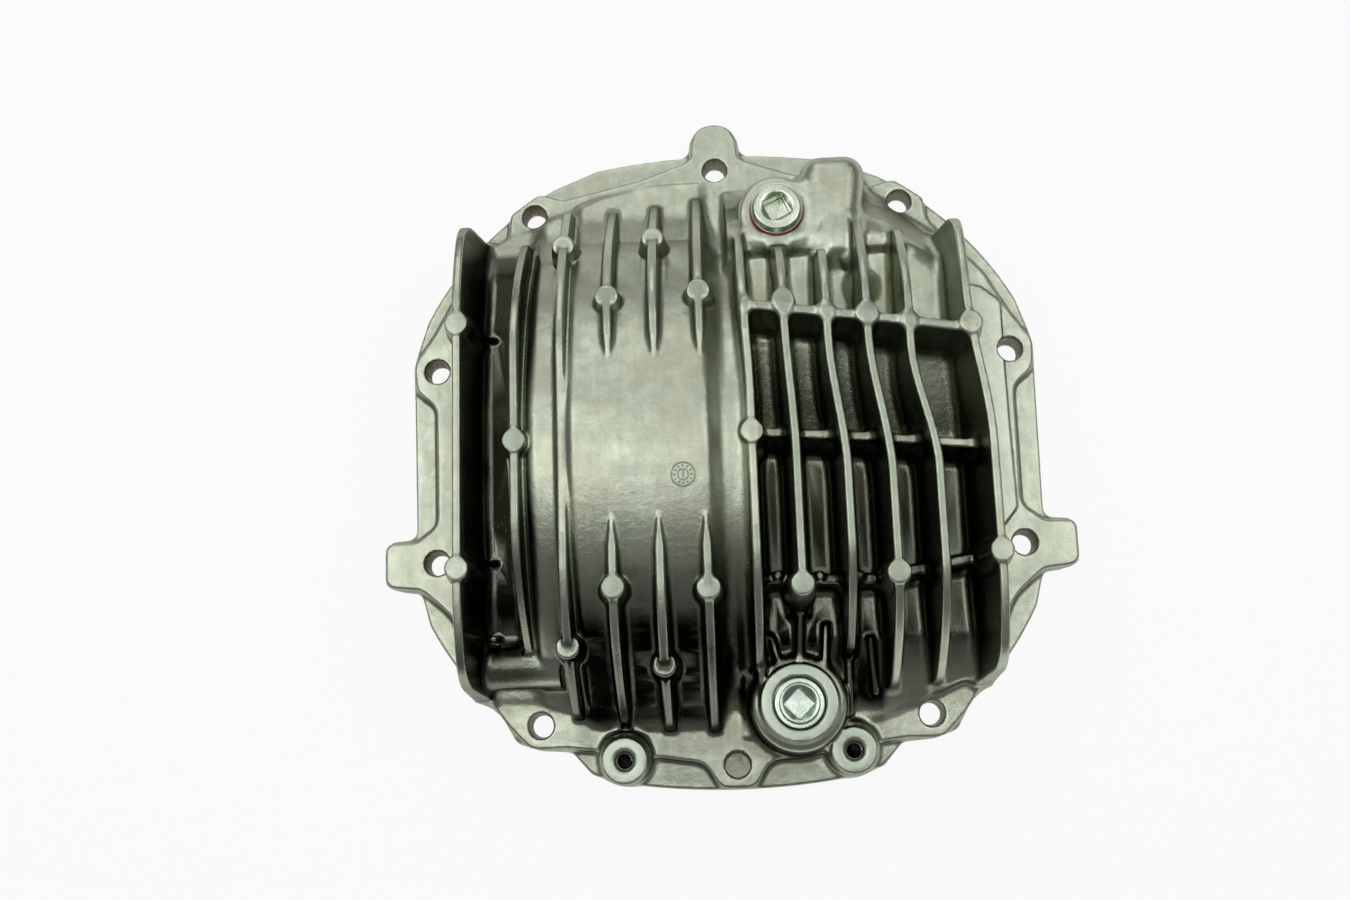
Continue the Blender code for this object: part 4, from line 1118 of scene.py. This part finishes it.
def thread(name, centre, low, root_r, crest_r, pitch, length, material):
    """A screw thread as a ridge on a helix that runs out into its shank at both ends."""
    sizes = {"Radius": root_r * MM, "Depth": (crest_r - root_r) * MM, "Pitch": pitch, "Length": length * MM}
    growth = Growth(name, sizes)
    given = growth.given
    turns = growth.math("DIVIDE", given["Length"], given["Pitch"])
    helix = growth.node("GeometryNodeCurveSpiral", {
        "Resolution": 40, "Rotations": turns, "Start Radius": given["Radius"],
        "End Radius": given["Radius"], "Height": given["Length"],
    })
    along = growth.node("GeometryNodeSplineParameter")
    edge = growth.math("MINIMUM", along, growth.math("SUBTRACT", 1.0, along))
    edge_turns = growth.math("MULTIPLY", edge, turns)
    share = growth.node("ShaderNodeMapRange", {"Value": edge_turns, "From Min": 0.0, "From Max": 0.6})
    sunk = growth.math("SUBTRACT", 1.0, share)
    inward = growth.math("MULTIPLY", growth.math("DIVIDE", given["Depth"], given["Radius"]), sunk)
    scale = growth.math("SUBTRACT", 1.0, inward)
    squeeze = growth.node("ShaderNodeCombineXYZ", {0: scale, 1: scale, 2: 1.0})
    spot = growth.node("GeometryNodeInputPosition")
    moved = growth.node("ShaderNodeVectorMath", {0: spot, 1: squeeze}, {"operation": "MULTIPLY"})
    ridge = growth.node("GeometryNodeSetPosition", {"Geometry": helix, "Position": moved})
    profile = growth.node("GeometryNodeCurvePrimitiveCircle", {"Resolution": 4, "Radius": given["Depth"]})
    body = growth.swept(ridge, profile)
    place = (centre[0] * MM, centre[1] * MM + PATTERN_Y, low * MM)
    obj = growth.made(body, place, (0, 0, 0), material)
    obj.data.polygons.foreach_set("use_smooth", np.zeros(len(obj.data.polygons), bool))
    return obj


def date_dial(material, radius, relief):
    """A plain moulded dial: two rings, twelve ticks between them and a bar."""
    growth = Growth("date_dial", {"Radius": radius, "Relief": relief})
    given = growth.given
    profile = growth.node("GeometryNodeCurvePrimitiveCircle", {"Resolution": 8, "Radius": given["Relief"]})
    parts = []
    for share in (1.0, 0.45):
        reach = growth.math("MULTIPLY", given["Radius"], share)
        ring = growth.node("GeometryNodeCurvePrimitiveCircle", {"Resolution": 96, "Radius": reach})
        parts.append(growth.node("GeometryNodeCurveToMesh", {"Curve": ring, "Profile Curve": profile}))
    reach = growth.math("MULTIPLY", given["Radius"], 0.74)
    spots = growth.node("GeometryNodeCurvePrimitiveCircle", {"Resolution": 12, "Radius": reach})
    spots = growth.node("GeometryNodeCurveToPoints", {"Curve": spots, "Count": 12})
    spot = growth.node("GeometryNodeInputPosition")
    turn = growth.node("FunctionNodeAlignRotationToVector", {"Vector": spot}, {"axis": "X"})
    half = growth.math("MULTIPLY", given["Radius"], 0.1)
    back = growth.math("MULTIPLY", half, -1.0)
    start = growth.node("ShaderNodeCombineXYZ", {0: back})
    end = growth.node("ShaderNodeCombineXYZ", {0: half})
    line = growth.node("GeometryNodeCurvePrimitiveLine", {"Start": start, "End": end})
    tick = growth.swept(line, profile)
    parts.append(growth.node("GeometryNodeInstanceOnPoints", {
        "Points": spots, "Instance": tick, "Rotation": turn,
    }))
    far = growth.math("MULTIPLY", given["Radius"], 0.33)
    near = growth.math("MULTIPLY", far, -1.0)
    low = growth.node("ShaderNodeCombineXYZ", {1: near})
    high = growth.node("ShaderNodeCombineXYZ", {1: far})
    hand = growth.node("GeometryNodeCurvePrimitiveLine", {"Start": low, "End": high})
    parts.append(growth.swept(hand, profile))
    x, y, z = DATE_DIAL
    turn = (math.radians(DATE_DIAL_LEAN), 0, 0)
    return growth.made(growth.together(parts), (x * MM, y * MM + PATTERN_Y, z * MM), turn, material)


class Value:
    """An output of a shader node. Arithmetic on it adds Math nodes."""

    def __init__(self, finish, socket):
        self.finish = finish
        self.socket = socket

    def math(self, operation, *values, clamp=False):
        inputs = dict(enumerate(values))
        return self.finish.node("ShaderNodeMath", {"operation": operation, "use_clamp": clamp}, inputs)

    def __add__(self, other):
        return self.math("ADD", self, other)

    def __radd__(self, other):
        return self.math("ADD", other, self)

    def __sub__(self, other):
        return self.math("SUBTRACT", self, other)

    def __rsub__(self, other):
        return self.math("SUBTRACT", other, self)

    def __mul__(self, other):
        return self.math("MULTIPLY", self, other)

    def __rmul__(self, other):
        return self.math("MULTIPLY", other, self)

    def __pow__(self, other):
        return self.math("POWER", self, other)

    def __abs__(self):
        return self.math("ABSOLUTE", self)

    def __lt__(self, other):
        return self.math("LESS_THAN", self, other)

    def __gt__(self, other):
        return self.math("GREATER_THAN", self, other)

    def clamped(self):
        return self.math("ADD", self, 0.0, clamp=True)

    def sine(self):
        return self.math("SINE", self)


class Finish:
    """A material made of nodes round one Principled shader."""

    def __init__(self, name, colour, roughness, metallic=0.0):
        self.material = bpy.data.materials.new(name)
        self.material.use_nodes = True
        self.tree = self.material.node_tree
        self.shader = self.tree.nodes["Principled BSDF"]
        self.shader.inputs["Base Color"].default_value = (*colour, 1)
        self.shader.inputs["Roughness"].default_value = roughness
        self.shader.inputs["Metallic"].default_value = metallic

    def node(self, kind, settings=None, inputs=None, output=0):
        made = self.tree.nodes.new(kind)
        for key, value in (settings or {}).items():
            setattr(made, key, value)
        for key, value in (inputs or {}).items():
            if isinstance(value, Value):
                self.tree.links.new(value.socket, made.inputs[key])
            else:
                made.inputs[key].default_value = value
        return Value(self, made.outputs[output])

    def feed(self, name, value):
        self.tree.links.new(value.socket, self.shader.inputs[name])

    def place(self):
        """Object coordinates in millimetres from the centre of the bolt pattern."""
        spot = self.node("ShaderNodeTexCoord", output="Object")
        shift = (0, -PATTERN_Y / MM, 0)
        scale = (1 / MM,) * 3
        return self.node("ShaderNodeMapping", {}, {"Vector": spot, "Location": shift, "Scale": scale})

    def stretch(self, vector, scale):
        return self.node("ShaderNodeMapping", {}, {"Vector": vector, "Scale": scale})

    def split(self, vector):
        made = self.node("ShaderNodeSeparateXYZ", {}, {"Vector": vector})
        outputs = made.socket.node.outputs
        return [Value(self, outputs[k]) for k in range(3)]

    def noise(self, place, scale, detail=3.0, roughness=0.55):
        inputs = {"Vector": place, "Scale": scale, "Detail": detail, "Roughness": roughness}
        return self.node("ShaderNodeTexNoise", {}, inputs)

    def spots(self, place, scale):
        return self.node("ShaderNodeTexVoronoi", {}, {"Vector": place, "Scale": scale})

    def attribute(self, name):
        return self.node("ShaderNodeAttribute", {"attribute_name": name}, output="Fac")

    def ramp(self, value, low, high, low_out=0.0, high_out=1.0):
        """A smooth step from one value to another."""
        inputs = {"Value": value, "From Min": low, "From Max": high, "To Min": low_out, "To Max": high_out}
        return self.node("ShaderNodeMapRange", {"interpolation_type": "SMOOTHSTEP"}, inputs)

    def blend(self, share, first, second):
        first = (*first, 1) if isinstance(first, tuple) else first
        second = (*second, 1) if isinstance(second, tuple) else second
        return self.node("ShaderNodeMix", {"data_type": "RGBA"}, {0: share, 6: first, 7: second}, 2)

    def bump(self, height, distance, strength=1.0, under=None):
        inputs = {"Height": height, "Distance": distance, "Strength": strength}
        if under is not None:
            inputs["Normal"] = under
        return self.node("ShaderNodeBump", {}, inputs)

    def near(self, x, y, centre):
        """Distance in the plan from a centre, in millimetres."""
        across = x - centre[0]
        upward = y - centre[1]
        return (across * across + upward * upward) ** 0.5


def tuple_of(colour):
    return tuple(colour)[:3]


def shaded(colour, *shares):
    """A colour with its three parts scaled, by one share or by one for each."""
    shares = shares * 3 if len(shares) == 1 else shares
    return tuple(c * share for c, share in zip(colour, shares))


class CastFinish(Finish):
    """Shot-blasted cast aluminium, machined on its faces, stained and with painted shade between the fins,
    painted highlights on fillets and open edges, and painted shade in the holes.
    """

    def __init__(self, looks):
        self.light = tuple_of(looks.aluminium)
        self.stain = tuple_of(looks.stain)
        self.bright = tuple_of(looks.machined)
        super().__init__("cast aluminium", self.light, looks.cast_roughness, 1.0)
        self.shader.inputs["Specular Tint"].default_value = (*EDGE_TINT, 1)
        self.spot = self.place()
        self.x, self.y, self.z = self.split(self.spot)
        self.facing = self.split(self.node("ShaderNodeNewGeometry", output="Normal"))[2]
        self.level = self.facing > 0.97
        self.sky = self.attribute("openness")
        self.turn = self.attribute("bend")
        # Concave fillets in part-hidden places: a painted highlight that keeps stain and painted shade off
        # them, and slightly lower roughness.
        self.fillet_gloss_and_painted_glint = self.ramp(self.turn, 0.44, 0.3) * self.ramp(self.sky, 0.7, 0.5)
        self.patches = self.noise(self.spot, 0.03, 4.0, 0.6)
        self.clouds = self.noise(self.spot, 0.14, 5.0, 0.65)
        self.grain = self.noise(self.spot, 1.6, 3.0, 0.6)
        self.streaks = self.noise(self.stretch(self.spot, (1.0, 0.12, 0.12)), 0.35, 4.0, 0.6)
        self.drain = self.near(self.x, self.y, DRAIN)
        self.tapped = [self.near(self.x, self.y, centre) for centre in TAPPED]
        self.drain_face = (abs(self.z - DRAIN_FACE) < 0.15) * (self.drain < DRAIN_BOSS_R)

    def machined(self):
        """The faces of the drain boss and tapped bosses, the patch and the gasket face."""
        left, right = self.tapped
        either = ((left < TAPPED_BOSS_R) + (right < TAPPED_BOSS_R)) > 0.5
        tapped_face = (abs(self.z - TAPPED_FACE) < 0.15) * either
        patch = (abs(self.z - PATCH_HEIGHT) < 0.12) * (self.x > 100) * 0.45
        gasket_face = (self.facing < -0.97) * (self.z < 0.1)
        return ((self.drain_face + tapped_face + patch) * self.level + gasket_face).clamped()

    def metal(self):
        """The bare metal with its mottle, warm patches and streaks."""
        base = self.blend(self.ramp(self.clouds, 0.3, 0.7), self.light, shaded(self.light, 0.72))
        warm = shaded(self.light, 0.74, 0.70, 0.62)
        base = self.blend(self.ramp(self.patches, 0.35, 0.7) * 0.7, base, warm)
        return self.blend(self.ramp(self.streaks, 0.4, 0.7) * 0.5, base, shaded(self.light, 0.66))

    def lower_share(self, groove):
        """A share that is small at the top right and grows towards the bottom and in the groove."""
        lower_share = self.ramp(self.y + (self.patches - 0.5) * 60, 75, -35, 0.12, 1.0)
        lower_share = lower_share * (1 - self.ramp(self.x, 40, 70) * self.ramp(self.y, -10, 40) * 0.6)
        return lower_share + (1 - lower_share) * groove

    def drum_foot(self):
        """The black foot of the drum, clear of the three bosses."""
        left, right = self.tapped
        middle = self.ramp(self.x, -74, -64) * self.ramp(self.x, 66, 60) * self.ramp(self.drain, 18, 23)
        middle = middle * self.ramp(left, 11, 17) * self.ramp(right, 11, 17)
        runs = self.ramp(self.streaks, 0.2, 0.5, 0.8, 1.0)
        return self.ramp(self.y, -48, -92) * self.ramp(self.z, 70, 48) * runs * middle

    def stains_and_shade(self):
        """The share of stain and painted shade, strongest where the skin sees little open sky, towards the
        bottom and in the groove; the share of near-black stain and painted shade in the most hidden places
        and at the drum's foot; and the first one's colour, darker towards the bottom and in the groove.
        """
        # The groove beside the left plate is darkened, partly stain and partly the plate's painted shadow.
        groove = self.ramp(self.x, -72, -88) * self.ramp(self.z, 69, 62)
        lower_share = self.lower_share(groove)
        drum_foot = self.drum_foot()
        # Painted shade: darker where the skin sees less of the open sky.
        shade = 1 - self.ramp(self.sky + (self.clouds - 0.5) * 0.22 + (self.patches - 0.5) * 0.2, 0.10, 0.74)
        inside = (self.ramp(self.z, 12.2, 15.5, 0.2, 1.0) + self.ramp(self.sky, 0.3, 0.2)).clamped()
        stain_with_painted_shade = (shade * lower_share + drum_foot + groove * 0.6).clamped() * inside * (1 - self.fillet_gloss_and_painted_glint * 0.45)
        # Painted shade: near black where almost no open sky is seen.
        hidden = (1 - self.ramp(self.sky, 0.03, 0.22)) * lower_share
        near_black_shade_and_stain = (hidden + self.ramp(drum_foot, 0.4, 0.9) * 0.95).clamped() * inside * (1 - self.fillet_gloss_and_painted_glint * 0.6)
        low = (self.ramp(self.y, 25, -45) + groove * 0.85).clamped()
        return stain_with_painted_shade, near_black_shade_and_stain, self.blend(low, shaded(self.stain, 0.8), shaded(self.stain, 0.06))

    def worn(self, base):
        """Open edges lightened, partly rubbed wear and partly a painted highlight, and the darker tips of the
        fins and pads.
        """
        edges = self.ramp(self.turn, 0.56, 0.85) * self.ramp(self.sky, 0.3, 0.6) * self.ramp(self.z, 70, 69)
        base = self.blend(edges * 0.3, base, shaded(self.light, 1.2))
        middle = abs(self.y) < 40
        crown = middle * (self.x > DRUM_LEFT_X - 0.5) * (self.x < DRUM_RIGHT_X + 0.1)
        steps = middle * (self.x > -80) * (self.x < 13)
        tips = ((self.z > 60) * (1 - steps) + (self.z > 73.6) * (1 - crown)).clamped() * self.level
        inner = self.ramp(abs(self.x), 104, 90, 0.2, 0.65)
        return self.blend(tips * inner, base, shaded(self.light, 0.42, 0.46, 0.47))

    def holed(self, base):
        """The dish at the tenth bolt place, and painted shade on the walls of the tapped holes and bolt
        holes.
        """
        dish = self.near(self.x, self.y, (0, -BOLT_TOP_Y)) < 5.6
        dish = dish * (self.z < BAND_HEIGHT - 0.4) * (self.z > 5)
        base = self.blend(dish * 0.5, base, self.stain)
        left, right = self.tapped
        wall = TAPPED_HOLE_R + 0.2
        # Painted shade: the walls of the tapped holes below their faces are coloured near black.
        tapped = ((left < wall) + (right < wall)) * (self.z < TAPPED_FACE - 1.6) * (self.z > 1)
        base = self.blend(tapped.clamped(), base, PAINTED_HOLE_SHADE)
        # Painted shade: steep bolt-hole walls that see little open sky are coloured dark brown.
        bore = self.ramp(self.sky, 0.45, 0.33) * self.ramp(abs(self.facing), 0.6, 0.3) * (self.z < 14)
        return self.blend(bore * 0.75, base, PAINTED_BORE_SHADE)

    def freckled(self, base, cut):
        """Small dark pits in the cast skin."""
        pits = 1 - self.ramp(self.spots(self.spot, 0.7), 0.08, 0.24)
        freckles = self.ramp(self.clouds, 0.5, 0.62) * pits
        return self.blend(freckles * 0.35 * (1 - cut), base, shaded(self.light, 0.45))

    def relief(self, cut):
        """Waves and grain of the cast skin, and turning rings on the machined faces."""
        rings = ((self.drain * self.drain_face + self.tapped[0]) * 9.0).sine()
        waves = self.bump(self.noise(self.spot, 0.45, 2.0), 0.00035, 0.35)
        grain = self.bump(self.grain * (1 - cut), 0.00012, 0.7, waves)
        return self.bump(rings * cut, 0.000006, 0.5, grain)


def cast_finish(looks):
    finish = CastFinish(looks)
    cut = finish.machined()
    stain_with_painted_shade, near_black_shade_and_stain, stain_shade_colour = finish.stains_and_shade()
    stain = finish.stain
    base = finish.blend(stain_with_painted_shade, finish.metal(), stain_shade_colour)
    # The near-black colour of the deepest stain and painted shade, darker towards the bottom.
    black = finish.blend(finish.ramp(finish.y, 20, -60), shaded(stain, 0.45), shaded(stain, 0.02))
    base = finish.worn(finish.blend(near_black_shade_and_stain, base, black))
    base = finish.holed(finish.blend(cut, base, finish.bright))
    finish.feed("Base Color", finish.freckled(base, cut))
    rough = looks.cast_roughness + (finish.grain - 0.5) * (1 - cut) * 0.14 + (finish.clouds - 0.5) * 0.12
    finish.feed("Roughness", (rough - stain_with_painted_shade * 0.15 - finish.fillet_gloss_and_painted_glint * 0.05 - cut * 0.03).clamped())
    finish.feed("Normal", finish.relief(cut))
    return finish.material


def plated_finish(name, colour, centre, roughness):
    """Bright zinc plate with faint turning marks and a little tarnish."""
    finish = Finish(name, colour, roughness, 1.0)
    place = finish.place()
    x, y = finish.split(place)[:2]
    clouds = finish.noise(place, 0.25, 4.0, 0.6)
    grain = finish.noise(place, 2.5, 2.0)
    tarnish = finish.ramp(clouds, 0.45, 0.75)
    dull = shaded(colour, 0.75, 0.86, 0.66)
    finish.feed("Base Color", finish.blend(tarnish * 0.6, colour, dull))
    finish.feed("Roughness", (roughness + (clouds - 0.5) * 0.25 + (grain - 0.5) * 0.1).clamped())
    turning = (finish.near(x, y, centre) * 14.0).sine()
    finish.feed("Normal", finish.bump(turning * 0.4 + grain, 0.00003, 0.5))
    return finish.material


def rubber_finish(colour):
    finish = Finish("red rubber", colour, 0.45)
    place = finish.place()
    clouds = finish.noise(place, 0.5, 3.0)
    finish.feed("Base Color", finish.blend(finish.ramp(clouds, 0.3, 0.8), colour, shaded(colour, 0.6)))
    finish.feed("Roughness", 0.38 + clouds * 0.2)
    finish.feed("Normal", finish.bump(finish.noise(place, 4.0), 0.00003, 0.4))
    return finish.material


def magnet_finish(colour):
    finish = Finish("magnet", colour, 0.4, 1.0)
    place = finish.place()
    grain = finish.noise(place, 1.2, 4.0, 0.65)
    worn = finish.ramp(grain, 0.45, 0.7)
    finish.feed("Base Color", finish.blend(worn, colour, shaded(colour, 1.6)))
    finish.feed("Roughness", 0.34 + grain * 0.2)
    finish.feed("Normal", finish.bump(grain, 0.00005, 0.4))
    return finish.material


def length_property(name, default, about):
    return bpy.props.FloatProperty(name=name, default=default, unit="LENGTH", description=about)


def angle_property(name, degrees, about):
    default = math.radians(degrees)
    return bpy.props.FloatProperty(name=name, default=default, subtype="ANGLE", description=about)


def colour_property(name, default, about):
    return bpy.props.FloatVectorProperty(name=name, default=default, subtype="COLOR", description=about)


class CastingSizes(bpy.types.PropertyGroup):
    """Sizes of the casting."""

    tip_height: length_property("Fin tips", 0.071, "Height of the fin tips above the gasket face")
    tip_width: length_property("Tip width", 0.0036, "Thickness of a fin at its tip")
    edge: length_property("Fin edge", 0.0008, "Radius along the edges of a fin's tip")
    draft: angle_property("Draft", 1.6, "Slope of a fin's sides")
    drum_draft: angle_property("Drum draft", 4, "Slope of the fins on the drum")
    plate_draft: angle_property("Plate draft", 4.5, "Inner slope of the outer plates")
    end_draft: angle_property("End draft", 6, "Slope of a fin's two ends")
    wall: length_property("Wall", 0.006, "Thickness of the housing's wall")
    shoulder: length_property("Shoulder", 0.0012, "Radius along the drum's two edges")
    left_fillet: length_property("Drum fillet", 0.0022, "Radius at the foot of the fins on the drum")
    plate_fillet: length_property("Plate fillet", 0.0045, "Radius at the foot of the outer plates")
    pocket_fillet: length_property("Pocket fillet", 0.0042, "Radius in the corners of the pockets")
    foot_fillet: length_property("Foot fillet", 0.003, "Radius at the foot of the housing and bosses")
    sampling: length_property("Sampling", 0.0008, "Spacing of the grid the skin is found on")
    dial: length_property("Date dial", 0.0047, "Radius of the moulded date dial")
    dial_relief: length_property("Dial relief", 0.00035, "Height of the dial's lines")
    tapped_pitch: length_property("Tapped pitch", 0.00125, "Thread pitch of the two tapped bosses")
    triangles: bpy.props.IntProperty(
        name="Triangles", default=195000, min=1000,
        description="Triangles of the finished casting",
    )


class PlugSizes(bpy.types.PropertyGroup):
    """Sizes of the two plugs and the seal."""

    square: length_property("Square drive", 0.009525, "Width of the square recess across its flats")
    pitch: length_property("Thread pitch", 0.0015, "Distance from one thread crest to the next")
    sampling: length_property("Sampling", 0.0003, "Spacing of the grid the plugs are found on")


class CoverLooks(bpy.types.PropertyGroup):
    """Colours and finishes."""

    aluminium: colour_property("Aluminium", (0.56, 0.61, 0.49), "Colour of the cast metal")
    machined: colour_property("Machined face", (0.40, 0.455, 0.375), "Colour of the faces cut bright")
    # The stain colour is also the colour of the painted shade deep between the fins.
    stain: colour_property("Stain", (0.15, 0.155, 0.09), "Colour of the metal deep between the fins")
    zinc: colour_property("Zinc plate", (0.64, 0.70, 0.58), "Colour of the fill plug")
    drain_zinc: colour_property("Drain plate", (0.56, 0.65, 0.57), "Colour of the drain plug")
    rubber: colour_property("Seal", (0.30, 0.012, 0.03), "Colour of the fill plug's seal")
    magnet: colour_property("Magnet", (0.22, 0.22, 0.23), "Colour of the drain plug's magnet")
    cast_roughness: bpy.props.FloatProperty(
        name="Cast roughness", subtype="FACTOR", default=0.36,
        description="Roughness of the cast metal",
    )


class CoverStage(bpy.types.PropertyGroup):
    """Floor, lamps and room light."""

    floor: colour_property("Floor", (0.7, 0.7, 0.7), "Colour of the floor")
    key: bpy.props.FloatProperty(
        name="Side lamps", default=4.7, unit="POWER",
        description="Power of the lamps above the cover's left and right",
    )
    side: bpy.props.FloatProperty(
        name="Top lamp", default=4.0, unit="POWER",
        description="Power of the lamp past the cover's top",
    )
    sky: bpy.props.FloatProperty(
        name="Room light", default=0.15,
        description="Strength of the light from all round",
    )


def finished(obj, material, node=None):
    """Gives a piece its material and its place in the part."""
    obj.data.materials.clear()
    obj.data.materials.append(material)
    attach(obj, "root")
    if node:
        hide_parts(node)
    return obj


class COVER_OT_casting(bpy.types.Operator):
    """Makes the casting's skin and its cast finish"""

    bl_idname = "cover.casting"
    bl_label = "Casting"

    def execute(self, context):
        sizes = context.scene.cover_casting
        block = casting_block(sizes)
        casting, points, outward = skinned("casting", block, sizes.triangles)
        rays = 96
        for name, values in (
            ("openness", openness(block, points, outward, rays)),
            ("bend", bend(block, points, 1.6)),
        ):
            layer = casting.data.attributes.new(name, "FLOAT", "POINT")
            layer.data.foreach_set("value", values.astype(np.float32))
        finished(casting, cast_finish(context.scene.cover_looks), "cover_casting")
        return {"FINISHED"}


class COVER_OT_plugs(bpy.types.Operator):
    """Makes the plugs, the seal, the magnet and their finishes"""

    bl_idname = "cover.plugs"
    bl_label = "Plugs and seal"

    def execute(self, context):
        looks = context.scene.cover_looks
        sizes = context.scene.cover_plugs
        zinc = plated_finish("zinc plate", tuple_of(looks.zinc), FILL, 0.22)
        drain_zinc = plated_finish("drain zinc plate", tuple_of(looks.drain_zinc), DRAIN, 0.26)
        rubber = rubber_finish(tuple_of(looks.rubber))
        magnet = magnet_finish(tuple_of(looks.magnet))
        for name, node, slot, block, triangles, material in (
            ("fill_plug_skin", "fill_plug", "zinc_plate", fill_plug_block(sizes), 60000, zinc),
            ("drain_plug_skin", "drain_plug", "drain_zinc_plate", drain_plug_block(sizes), 60000, drain_zinc),
            ("seal_skin", "fill_plug_seal", "red_rubber", seal_block(sizes), 20000, rubber),
            ("magnet_skin", "drain_plug_magnet", "magnet", magnet_block(sizes), 16000, magnet),
        ):
            finished(skinned(name, block, triangles)[0], material, node)
        low = FILL_PLUG_LOW + 0.8
        length = FILL_SEAT - low - 1.2
        ridge = thread("fill_thread", FILL, low, FILL_ROOT_R, FILL_CREST_R, sizes.pitch, length, zinc)
        finished(ridge, zinc)
        return {"FINISHED"}


class COVER_OT_details(bpy.types.Operator):
    """Makes the threads of the two tapped bosses and the date dial on the drum"""

    bl_idname = "cover.details"
    bl_label = "Tapped threads and date dial"

    def execute(self, context):
        looks = context.scene.cover_looks
        sizes = context.scene.cover_casting
        # The tapped threads are coloured dark as painted shade inside their holes.
        cut = plated_finish("tapped thread", shaded(looks.machined, 0.3), TAPPED[0], 0.3)
        depth = TAPPED_FACE - TAPPED_HOLE_FLOOR - 3
        inside = TAPPED_HOLE_R - 0.1
        for name, centre in zip(("left", "right"), TAPPED):
            ridge = thread(
                f"{name}_tapped_thread", centre, TAPPED_HOLE_FLOOR + 1,
                inside, inside + TAPPED_THREAD_DEPTH, sizes.tapped_pitch, depth, cut,
            )
            finished(ridge, cut)
        shade = shaded(looks.aluminium, 0.7)
        metal = plated_finish("moulded dial", shade, DATE_DIAL[:2], looks.cast_roughness)
        dial = date_dial(metal, sizes.dial, sizes.dial_relief)
        finished(dial, metal)
        return {"FINISHED"}


def camera_matrix():
    """The camera's turn and place, in the part's frame."""
    pitch, yaw, roll = (math.radians(angle) for angle in CAMERA_TURNS)
    turn = Matrix.Rotation(roll, 3, "Z") @ Matrix.Rotation(yaw, 3, "Y") @ Matrix.Rotation(pitch, 3, "X")
    place = -(turn.transposed() @ Vector(CAMERA_SIGHT)) * MM
    matrix = turn.transposed().to_4x4()
    matrix.translation = place + Vector((0, PATTERN_Y, 0))
    return matrix


def make_camera():
    camera = bpy.data.cameras.new("camera")
    camera.sensor_width = SENSOR_WIDTH
    camera.lens = FOCAL_PIXELS * SENSOR_WIDTH / PICTURE_PIXELS
    camera.clip_start = 0.01
    viewer = bpy.data.objects.new("camera", camera)
    bpy.context.scene.collection.objects.link(viewer)
    viewer.matrix_world = camera_matrix()
    bpy.context.scene.camera = viewer


def make_lamp(name, place, size, power):
    light = bpy.data.lights.new(name, "AREA")
    light.shape = "SQUARE"
    light.size = size
    light.energy = power
    obj = bpy.data.objects.new(name, light)
    bpy.context.scene.collection.objects.link(obj)
    obj.location = place
    obj.rotation_euler = (Vector(LAMP_TARGET) - Vector(place)).to_track_quat("-Z", "Y").to_euler()


def make_floor(colour):
    """A wide floor that takes shadows, and shows white to the camera and in the metal."""
    signs = ((-1, -1), (1, -1), (1, 1), (-1, 1))
    corners = [(x * FLOOR_REACH, y * FLOOR_REACH, -FLOOR_DEPTH) for x, y in signs]
    mesh = mesh_from("floor", np.array(corners, np.float32), np.array([[0, 1, 2, 3]]))
    floor = bpy.data.objects.new("floor", mesh)
    bpy.context.scene.collection.objects.link(floor)
    finish = Finish("floor", colour, 0.9)
    rays = ("Is Camera Ray", "Is Glossy Ray", "Is Transmission Ray")
    seen = sum(finish.node("ShaderNodeLightPath", output=ray) for ray in rays).clamped()
    glow = finish.node("ShaderNodeEmission", {}, {"Color": (1, 1, 1, 1), "Strength": 1.0})
    surface = Value(finish, finish.shader.outputs[0])
    mixed = finish.node("ShaderNodeMixShader", {}, {0: seen * FLOOR_GLOW, 1: surface, 2: glow})
    finish.tree.links.new(mixed.socket, finish.tree.nodes["Material Output"].inputs["Surface"])
    mesh.materials.append(finish.material)


def make_room(strength):
    """Even light from all round."""
    world = bpy.data.worlds.new("room")
    bpy.context.scene.world = world
    world.use_nodes = True
    background = world.node_tree.nodes["Background"]
    background.inputs["Color"].default_value = (1, 1, 1, 1)
    background.inputs["Strength"].default_value = strength


class COVER_OT_stage(bpy.types.Operator):
    """Sets the floor, the lamps, the room light and the camera"""

    bl_idname = "cover.stage"
    bl_label = "Stage"

    def execute(self, context):
        stage = context.scene.cover_stage
        make_floor(tuple_of(stage.floor))
        for name, place, size, power, share in LAMPS:
            make_lamp(name, place, size, getattr(stage, power) * share)
        make_room(stage.sky)
        make_camera()
        context.scene.view_settings.view_transform = "Standard"
        return {"FINISHED"}


class COVER_PT_panel(bpy.types.Panel):
    """Lists the pieces and their sizes"""

    bl_label = "Differential cover"
    bl_space_type = "VIEW_3D"
    bl_region_type = "UI"
    bl_category = "Cover"

    def draw(self, context):
        for group in ("cover_casting", "cover_plugs", "cover_looks", "cover_stage"):
            box = self.layout.box()
            settings = getattr(context.scene, group)
            for name in settings.bl_rna.properties.keys():
                if name not in ("rna_type", "name"):
                    box.prop(settings, name)
        for operator in OPERATORS:
            self.layout.operator(operator.bl_idname)


GROUPS = {
    "cover_casting": CastingSizes,
    "cover_plugs": PlugSizes,
    "cover_looks": CoverLooks,
    "cover_stage": CoverStage,
}
OPERATORS = (COVER_OT_stage, COVER_OT_casting, COVER_OT_plugs, COVER_OT_details)


def register():
    for made in (*GROUPS.values(), *OPERATORS, COVER_PT_panel):
        bpy.utils.register_class(made)
    for name, group in GROUPS.items():
        setattr(bpy.types.Scene, name, bpy.props.PointerProperty(type=group))


def unregister():
    for name in GROUPS:
        delattr(bpy.types.Scene, name)
    for made in (COVER_PT_panel, *reversed(OPERATORS), *reversed(GROUPS.values())):
        bpy.utils.unregister_class(made)


def main():
    register()
    bpy.ops.cover.stage()
    bpy.ops.cover.casting()
    bpy.ops.cover.plugs()
    bpy.ops.cover.details()


if __name__ == "__main__":
    main()
